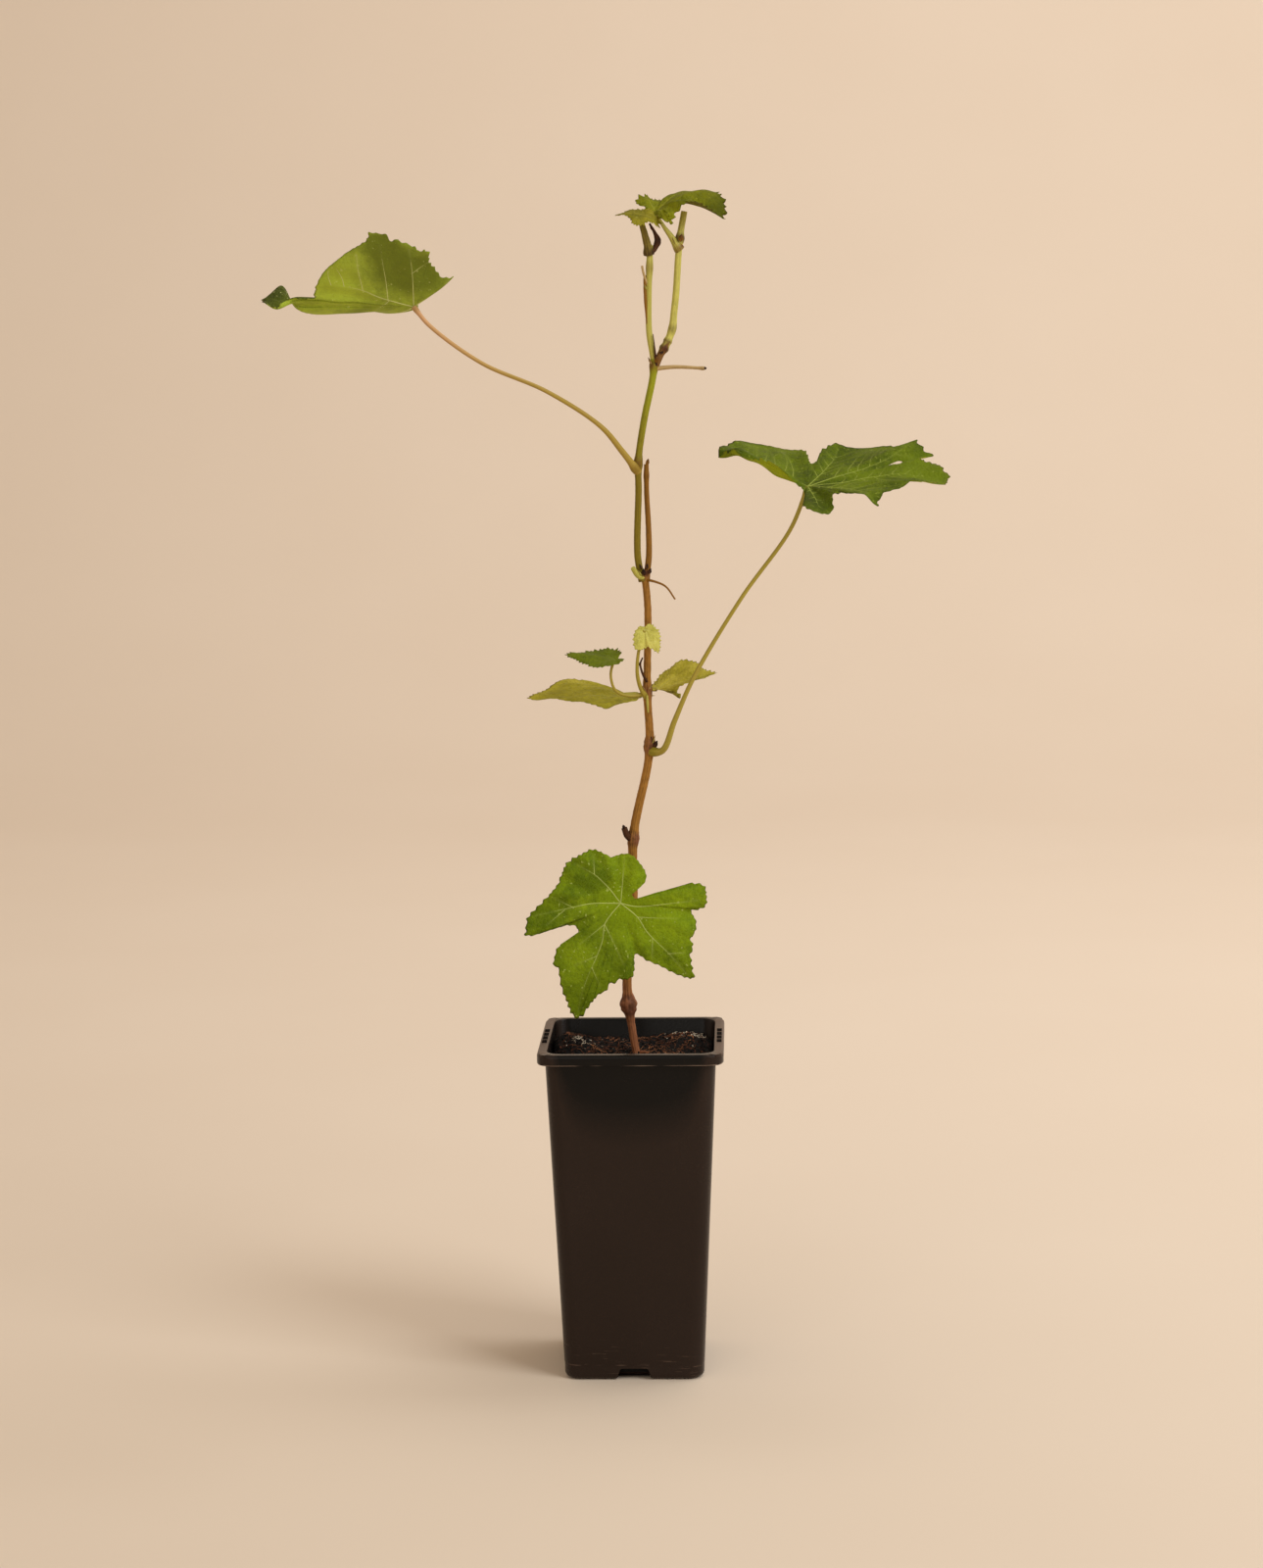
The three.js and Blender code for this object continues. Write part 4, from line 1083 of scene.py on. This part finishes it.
class Blade:
    """The map of one leaf: its margin, its height and its veins, in mm on the blade's plane."""

    def __init__(self, shape, seed):
        shape = {"face": (0, 0, 1), "bow": 1.3, "lifts": (), "calm": (), "tones": (), **shape}
        self.shape = shape
        self.dice = np.random.default_rng(seed)
        rows = [(*row, 0.0)[:3] for row in shape["outline"]]
        corners = [(*flat(turn, reach), rise) for turn, reach, rise in rows]
        self.margin = smooth_path([*corners, corners[0]])[0][:-1]
        turns = np.degrees(np.arctan2(self.margin[:, 1], self.margin[:, 0]))
        turns = rows[0][0] + (turns - rows[0][0] + 1e-6) % 360
        order = np.argsort(turns)
        self.even = rows[0][0] + np.arange(2 * 360) / 2
        reach = np.interp(self.even, turns[order], np.hypot(*self.margin[order, :2].T), period=360)
        self.reach = soften(reach)
        self.rise = soften(np.interp(self.even, turns[order], self.margin[order, 2], period=360))
        self.size = reach.max()
        self.wave_turns = self.dice.uniform(0, whole_turn, 3)
        self.swells = [(self.dice.uniform(2.2, 5.5), *self.dice.uniform(0, whole_turn, 2)) for _ in range(9)]
        tip = Vector(shape["tip"]).normalized()
        face = Vector(shape["face"])
        face = (face - tip * face.dot(tip)).normalized()
        self.basis = np.array((tip, face.cross(tip), face))
        mains = [self.main_rib(rib) for rib in shape["ribs"]]
        self.mains = [line for line, length in mains]
        self.veins = [(line, 0.003 * self.size + 0.14, 0.1) for line in self.mains]
        if "branches" in shape:
            for path in shape["branches"]:
                line = smooth_path([(*flat(*place), 0) for place in path])[0]
                self.veins.append((line[::40, :2], 0.0018 * self.size + 0.12, 0.11))
        else:
            for index, (line, length) in enumerate(mains):
                others = np.vstack([other[3:] for k, other in enumerate(self.mains) if k != index])
                self.grow_side_veins(line, others, max(2, int(2 * length / 12)))

    def share(self, x, y):
        """How far out a place lies, from 0 to 1, with the margin's reach, rise and turn there."""
        turns = np.degrees(np.arctan2(y, x))
        reach = np.interp(turns, self.even, self.reach, period=360)
        rise = np.interp(turns, self.even, self.rise, period=360)
        return np.hypot(x, y) / reach, reach, rise, np.radians(turns)

    def main_rib(self, rib):
        """The line and the length of a rib, which bends a little where only its turn is given."""
        if not isinstance(rib, list):
            reach = 0.96 * np.interp(rib, self.even, self.reach, period=360)
            bend = self.dice.uniform(-6, 6)
            rib = [(rib + bend * math.sin(math.pi * out), reach * out) for out in (0, 0.25, 0.5, 0.75, 1)]
        line, length = smooth_path([(*flat(*place), 0) for place in rib])
        return line[::25, :2], length

    def grow_side_veins(self, line, others, count):
        """Side veins leave a rib at an angle and stop short of the other ribs and the margin."""
        for k in range(count):
            start = 0.2 + 0.7 * (k + self.dice.uniform(-0.25, 0.25)) / count
            place = start * (len(line) - 1)
            heading = line[int(place) + 1] - line[int(place)]
            side = 1 if k % 2 else -1
            angle = math.atan2(heading[1], heading[0]) + side * math.radians(self.dice.uniform(48, 60))
            branch = [line[int(place)] + heading * (place % 1)]
            for _ in range(40):
                step = branch[-1] + 1.6 * np.array((math.cos(angle), math.sin(angle)))
                angle -= side * math.radians(1.3)
                own = np.linalg.norm(line - step, axis=1).min()
                if self.share(*step)[0] > 0.95 or np.linalg.norm(others - step, axis=1).min() < own * 0.8:
                    break
                branch.append(step)
            if len(branch) > 3:
                self.veins.append((np.array(branch), (0.0019 * self.size + 0.12) * (1.2 - 0.6 * start), 0.08))

    def height(self, x, y):
        """Height of the blade above its plane, and how near a vein is, from 0 to 1."""
        share, reach, rise, turn = self.share(x, y)
        inside = np.clip(share, 0, 1)
        z = rise * share ** self.shape["bow"] + 4 * self.shape["arch"] * reach * share * (1 - inside)
        wave = sum(np.sin(turn * count + phase) for count, phase in zip(wave_counts, self.wave_turns)) / 2
        z += self.shape["wave"] * wave * inside ** 2.5
        puff = self.size / 90
        for size, angle, phase in self.swells:
            swell = np.sin((x * math.cos(angle) + y * math.sin(angle)) / (size * puff) + phase)
            z += swell_rise * puff * swell * np.clip(share * 2, 0, 1)
        for turn, out, size, lift in self.shape["lifts"]:
            z += lift * hill(x, y, turn, out, size)
        near = from_lines(x, y, [vein[0] for vein in self.veins])
        quilt = puff_rise * (1 - np.exp(-(near / (3.2 * puff)) ** 2))
        groove = groove_depth * np.exp(-(from_lines(x, y, self.mains) / (5 * puff)) ** 2)
        z += puff * (quilt - groove) * np.clip(share * 3, 0, 1)
        return z, np.exp(-(near / (0.4 * puff + 0.2)) ** 2)

    def to_row(self, x, y, z):
        """Takes places from the map to the row of points in metres where the leaf hangs."""
        return (np.array(self.shape["at"]) + np.stack((x, y, z), axis=1) @ self.basis) * mm


print("leaf_right reaches", round(Blade(leaves["leaf_right"], 0).size), "mm from its stalk")

# %% [markdown]
# Teeth follow each other along the margin at an uneven stride: each climbs slowly and
# drops fast, as on a saw, and their size varies too. Near the stalk the margin is smooth.

# %% Toothed margin
tooth_supply, climb_share, calm_share = 400, 0.66, 0.85


def toothed_margin(blade, count):
    """The margin with its teeth, as places at even spacing round the leaf."""
    loop = np.vstack((blade.margin, blade.margin[0]))
    run = np.concatenate(([0], np.cumsum(np.hypot(*np.diff(loop[:, :2], axis=0).T))))
    place = np.linspace(0, run[-1], count, endpoint=False)
    mx, my = np.interp(place, run, loop[:, 0]), np.interp(place, run, loop[:, 1])
    dx, dy = np.roll(mx, -2) - np.roll(mx, 2), np.roll(my, -2) - np.roll(my, 2)
    long = np.hypot(dx, dy) + 1e-9
    stride = 1.7 + 3.2 * blade.size / 90
    starts = np.cumsum(blade.dice.uniform(0.6, 1.5, tooth_supply) * stride)
    index = np.searchsorted(starts, place)
    begin, end = np.concatenate(([0], starts))[index], starts[index]
    phase = (place - begin) / (end - begin)
    out = np.hypot(mx, my)
    peak = np.where(np.roll(out, -6) > np.roll(out, 6), climb_share, 1 - climb_share)
    saw = np.where(phase < peak, phase / peak, (1 - phase) / (1 - peak)) ** 1.25
    lively = np.sin(place / 13.0 + blade.dice.uniform(0, 6)) * np.sin(place / 29.0 + blade.dice.uniform(0, 6))
    chance = blade.dice.uniform(0.6, 1.2, tooth_supply + 1)[index]
    size = (end - begin) / stride * chance * (0.95 + 0.4 * lively)
    for turn, reach in blade.shape["calm"]:
        off = (np.degrees(np.arctan2(my, mx)) - turn + 180) % 360 - 180
        size = size * (1 - calm_share * np.exp(-(off / reach) ** 4))
    tooth = blade.shape["teeth"] * (saw - 0.45) * size * np.clip((out / blade.size - 0.18) * 5, 0, 1)
    return mx + tooth * dy / long, my - tooth * dx / long


print("a tooth climbs for", climb_share, "of its stride")

# %% [markdown]
# The ball's upright lines become spokes that run from the stalk point to the margin, and
# its rings keep their order, so the upper and the under skin meet at the margin. The two
# skins stand about a third of a millimetre apart, and the border of a torn hole is
# bridged from one to the other. Tones that a finish reads are stored with the points.

# %% Leaf blades
skin_gap, probe, big_leaf = 0.3, 0.4, 50


def leaf(name, blade, upper, under):
    segments, rings = (520, 40) if blade.size > big_leaf else (320, 22)
    deselect()
    bpy.ops.mesh.primitive_uv_sphere_add(segments=segments, ring_count=2 * rings, radius=1)
    piece = bpy.context.object
    ball = points_of(piece)
    mx, my = toothed_margin(blade, segments)
    spoke = np.rint(np.arctan2(ball[:, 1], ball[:, 0]) / (2 * np.pi) * segments).astype(int) % segments
    share = np.clip(1 - np.abs(np.arcsin(np.clip(ball[:, 2], -1, 1))) / (np.pi / 2), 0, 1)
    skin = np.sign(np.where(np.abs(ball[:, 2]) < 1e-5, 0, ball[:, 2]))
    (x, y), twin = np.unique(np.round((mx[spoke] * share, my[spoke] * share), 5), axis=1, return_inverse=True)
    z, vein = blade.height(x, y)
    slope_x = (blade.height(x + probe, y)[0] - z) / probe
    slope_y = (blade.height(x, y + probe)[0] - z) / probe
    x, y, z, vein, slope_x, slope_y = (values[twin.ravel()] for values in (x, y, z, vein, slope_x, slope_y))
    steep = np.sqrt(1 + slope_x ** 2 + slope_y ** 2)
    lift = skin * skin_gap / 2 * np.sqrt(np.clip(1 - share ** 8, 0, 1)) / steep
    put_points(piece, blade.to_row(x - slope_x * lift, y - slope_y * lift, z + lift))
    store(piece, "vein", vein)
    store(piece, "edge", share)
    # The stored tone is painted light: highlights where it is positive, shade where it is negative.
    store(piece, "tone", sum((amount * hill(x, y, turn, out, size)
                              for turn, out, size, amount in blade.shape["tones"]), np.zeros(len(x))))
    loops = np.empty(len(piece.data.loops), int)
    piece.data.loops.foreach_get("vertex_index", loops)
    plan = np.stack((x[loops], y[loops]), axis=1) / 100 + 0.5
    piece.data.uv_layers.active.data.foreach_set("uv", plan.astype(np.float32).ravel())
    piece.data.materials.append(upper)
    piece.data.materials.append(under)
    starts = np.empty(len(piece.data.polygons), int)
    piece.data.polygons.foreach_get("loop_start", starts)
    below = np.add.reduceat(ball[loops, 2], starts) < 0
    piece.data.polygons.foreach_set("material_index", below.astype(np.int32))
    only(piece)
    mode("EDIT")
    if "hole" in blade.shape:
        hx, hy, long, wide, slant = blade.shape["hole"]
        dx, dy, turn = x - hx, y - hy, math.radians(slant)
        run, off = dx * math.cos(turn) + dy * math.sin(turn), dy * math.cos(turn) - dx * math.sin(turn)
        inside = np.abs(off) < wide * (1 - (run / long) ** 2)
        pick(piece, lambda f: sum(inside[v.index] for v in f.verts) > 1)
        bpy.ops.mesh.delete(type="FACE")
        pick(piece, lambda e: e.is_boundary, "edges")
        bpy.ops.mesh.bridge_edge_loops()
    close()
    bpy.ops.object.shade_smooth()
    done(piece, name, None, "vine_leaf", name)


print("skins stand", skin_gap, "mm apart")

# %% [markdown]
# A raised vein is a thin tapering rod along a line of the map, sunk half into the skin.
# A curve with a round section makes such a strand, and peat fibres are made the same way.

# %% Thin strands
def strands(name, lines, finish, slot):
    """Thin round strands as one piece: each is (places in metres, start radius, end radius in mm)."""
    data = bpy.data.curves.new(name, "CURVE")
    data.dimensions = "3D"
    data.bevel_depth = mm
    data.bevel_resolution = 1
    data.use_fill_caps = True
    for places, thick, thin in lines:
        spline = data.splines.new("POLY")
        spline.points.add(len(places) - 1)
        for point, place, share in zip(spline.points, places, np.linspace(0, 1, len(places))):
            point.co = (*place, 1)
            point.radius = thick + (thin - thick) * share
    only(add_object(name, data))
    bpy.ops.object.convert(target="MESH")
    bpy.ops.object.shade_smooth()
    done(bpy.context.object, name, finish, slot)


print("strands ready")

# %% [markdown]
# A leaf's upper skin is a mottled green with a net of paler hair veins and a low sheen;
# its under skin is paler and duller. Both follow the leaf's own map: the net is drawn
# by cells of about a millimetre and of three. Stored tones paint highlights and shade,
# lightening or darkening single places, and the margin is slightly dry.

# %% Leaf finishes
def skin_finish(name, deep, fresh, net, vein_glow, roughness, spots, relief):
    deep, fresh, net = screen(*deep), screen(*fresh), screen(*net)
    skin = Finish(name, {"Specular IOR Level": 0.1, "Specular Tint": (0.9, 1.0, 0.5, 1.0)})
    plan = skin.place("UV")
    spot = skin.place()
    patches = skin.noise(spot, 38.0, 4.0, 0.55)
    mottle = skin.noise(spot, 260.0, 3.0, 0.6)
    small, large = skin.cells(plan, 95.0), skin.cells(plan, 36.0)
    lines = small.ramp(0.0, 0.09, 0.45, 0.0) + large.ramp(0.0, 0.05, 0.5, 0.0)
    tone = skin.attribute("tone") + (patches - 0.5) * 0.4
    margin = skin.attribute("edge") + (patches - 0.5) * 0.1
    # The tone paints highlights in fresh green and shade in half the deep green, with a little random tone
    # from the patches.
    colour = skin.mix(deep, (fresh, (patches * 0.62 + mottle * 0.38).ramp(0.38, 0.62)), (net, lines * 0.26),
                      (net, skin.attribute("vein") * vein_glow), (fresh, tone.ramp(0.0, 0.9, 0.0, 0.85)),
                      ([c * 0.5 for c in deep], tone.ramp(0.0, -0.9, 0.0, 0.8)),
                      (net, skin.noise(spot, 420.0, 1.0).ramp(0.70, 0.74) * spots),
                      (screen(140, 116, 56), margin.ramp(0.985, 1.0) * 0.25))
    dome = small.ramp(0.0, 0.35) * 0.6 + large.ramp(0.0, 0.4) + mottle * 0.5
    return skin.finish({"Base Color": colour,
                        "Roughness": mottle.ramp(0.3, 0.7, roughness - 0.06, roughness + 0.1),
                        "Normal": skin.bump(dome, relief, 0.00035)})


def vein_finish(name, net):
    vein = Finish(name, {"Roughness": 0.55, "Specular IOR Level": 0.15})
    streaks = vein.noise(vein.place(), 120.0, 3.0).ramp(0.35, 0.7)
    return vein.finish({"Base Color": vein.mix(screen(*net), (screen(*(0.85 * c for c in net)), streaks))})


print("leaf finishes ready")

# %% [markdown]
# The large leaves are dark green, two small ones on the trunk have yellowed, and the
# youngest is a light yellow-green. Each leaf has four tones: deep and fresh green, its
# net of veins, and its under side.

# %% Leaves and their veins
tints = {
    "leaf_front": ((84, 105, 2), (130, 152, 14), (182, 194, 104), (120, 130, 50)),
    "leaf_right": ((62, 76, 0), (100, 114, 10), (150, 158, 62), (160, 172, 28)),
    "leaf_left": ((58, 68, 0), (86, 96, 4), (206, 210, 128), (172, 190, 60)),
    "leaf_top": ((80, 84, 0), (126, 126, 8), (160, 154, 50), (128, 120, 26)),
    "leaf_tip": ((98, 92, 5), (146, 134, 30), (160, 150, 60), (140, 124, 34)),
    "leaf_upper_left": ((70, 82, 4), (106, 116, 14), (126, 132, 44), (104, 110, 24)),
    "leaf_lower_left": ((130, 121, 18), (176, 162, 46), (172, 162, 66), (150, 138, 34)),
    "leaf_lower_right": ((152, 139, 30), (194, 178, 68), (188, 178, 88), (160, 146, 46)),
    "leaf_young": ((164, 158, 56), (212, 204, 104), (222, 216, 140), (184, 174, 80)),
}
for number, (name, shape) in enumerate(leaves.items()):
    deep, fresh, net, pale = tints[name]
    blade = Blade(shape, 40 + number)
    upper = skin_finish(name + "_upper", deep, fresh, net, 0.16, 0.55, 0.5, 0.7)
    under = skin_finish(name + "_under", [c * 0.8 for c in pale], pale, net, 0.25, 0.62, 0.35, 0.5)
    leaf(name, blade, upper, under)
    strands(name.replace("leaf", "veins"), [(blade.to_row(*line.T, blade.height(*line.T)[0]), thick, thin)
                                            for line, thick, thin in blade.veins],
            vein_finish(name + "_veins", net), "vine_leaf")

# %% [markdown]
# Peat is held together by reddish plant fibres. They lie about on the surface as fine,
# bent hairs, so each is a short wandering line given a round section.

# %% Peat fibres
hair = Finish("peat_fibre", {"Roughness": 0.85, "Specular IOR Level": 0.2})
hair_colour = hair.mix(screen(70, 34, 18),
                       (screen(158, 104, 66), hair.noise(hair.place(), 60.0, 3.0).ramp(0.35, 0.65)),
                       (screen(214, 198, 172), hair.noise(hair.place(), 34.0, 1.0).ramp(0.6, 0.64)))
fibres = []
for _ in range(320):
    x, y = random.uniform(-fibre_reach, fibre_reach, 2) * mm
    heading, places = random.uniform(0, whole_turn), []
    for step in range(int(random.integers(5, 13))):
        places.append((x, y, peat_height(x, y) + random.uniform(0.1, 0.9) * mm))
        heading += random.normal(0, 0.35)
        x, y = x + math.cos(heading) * mm, y + math.sin(heading) * mm
        x, y = (min(fibre_limit, max(-fibre_limit, value)) for value in (x, y))
    fibres.append((places, random.uniform(0.12, 0.26), 0.07))
strands("peat_fibres", fibres, hair.finish({"Base Color": hair_colour}), "peat")
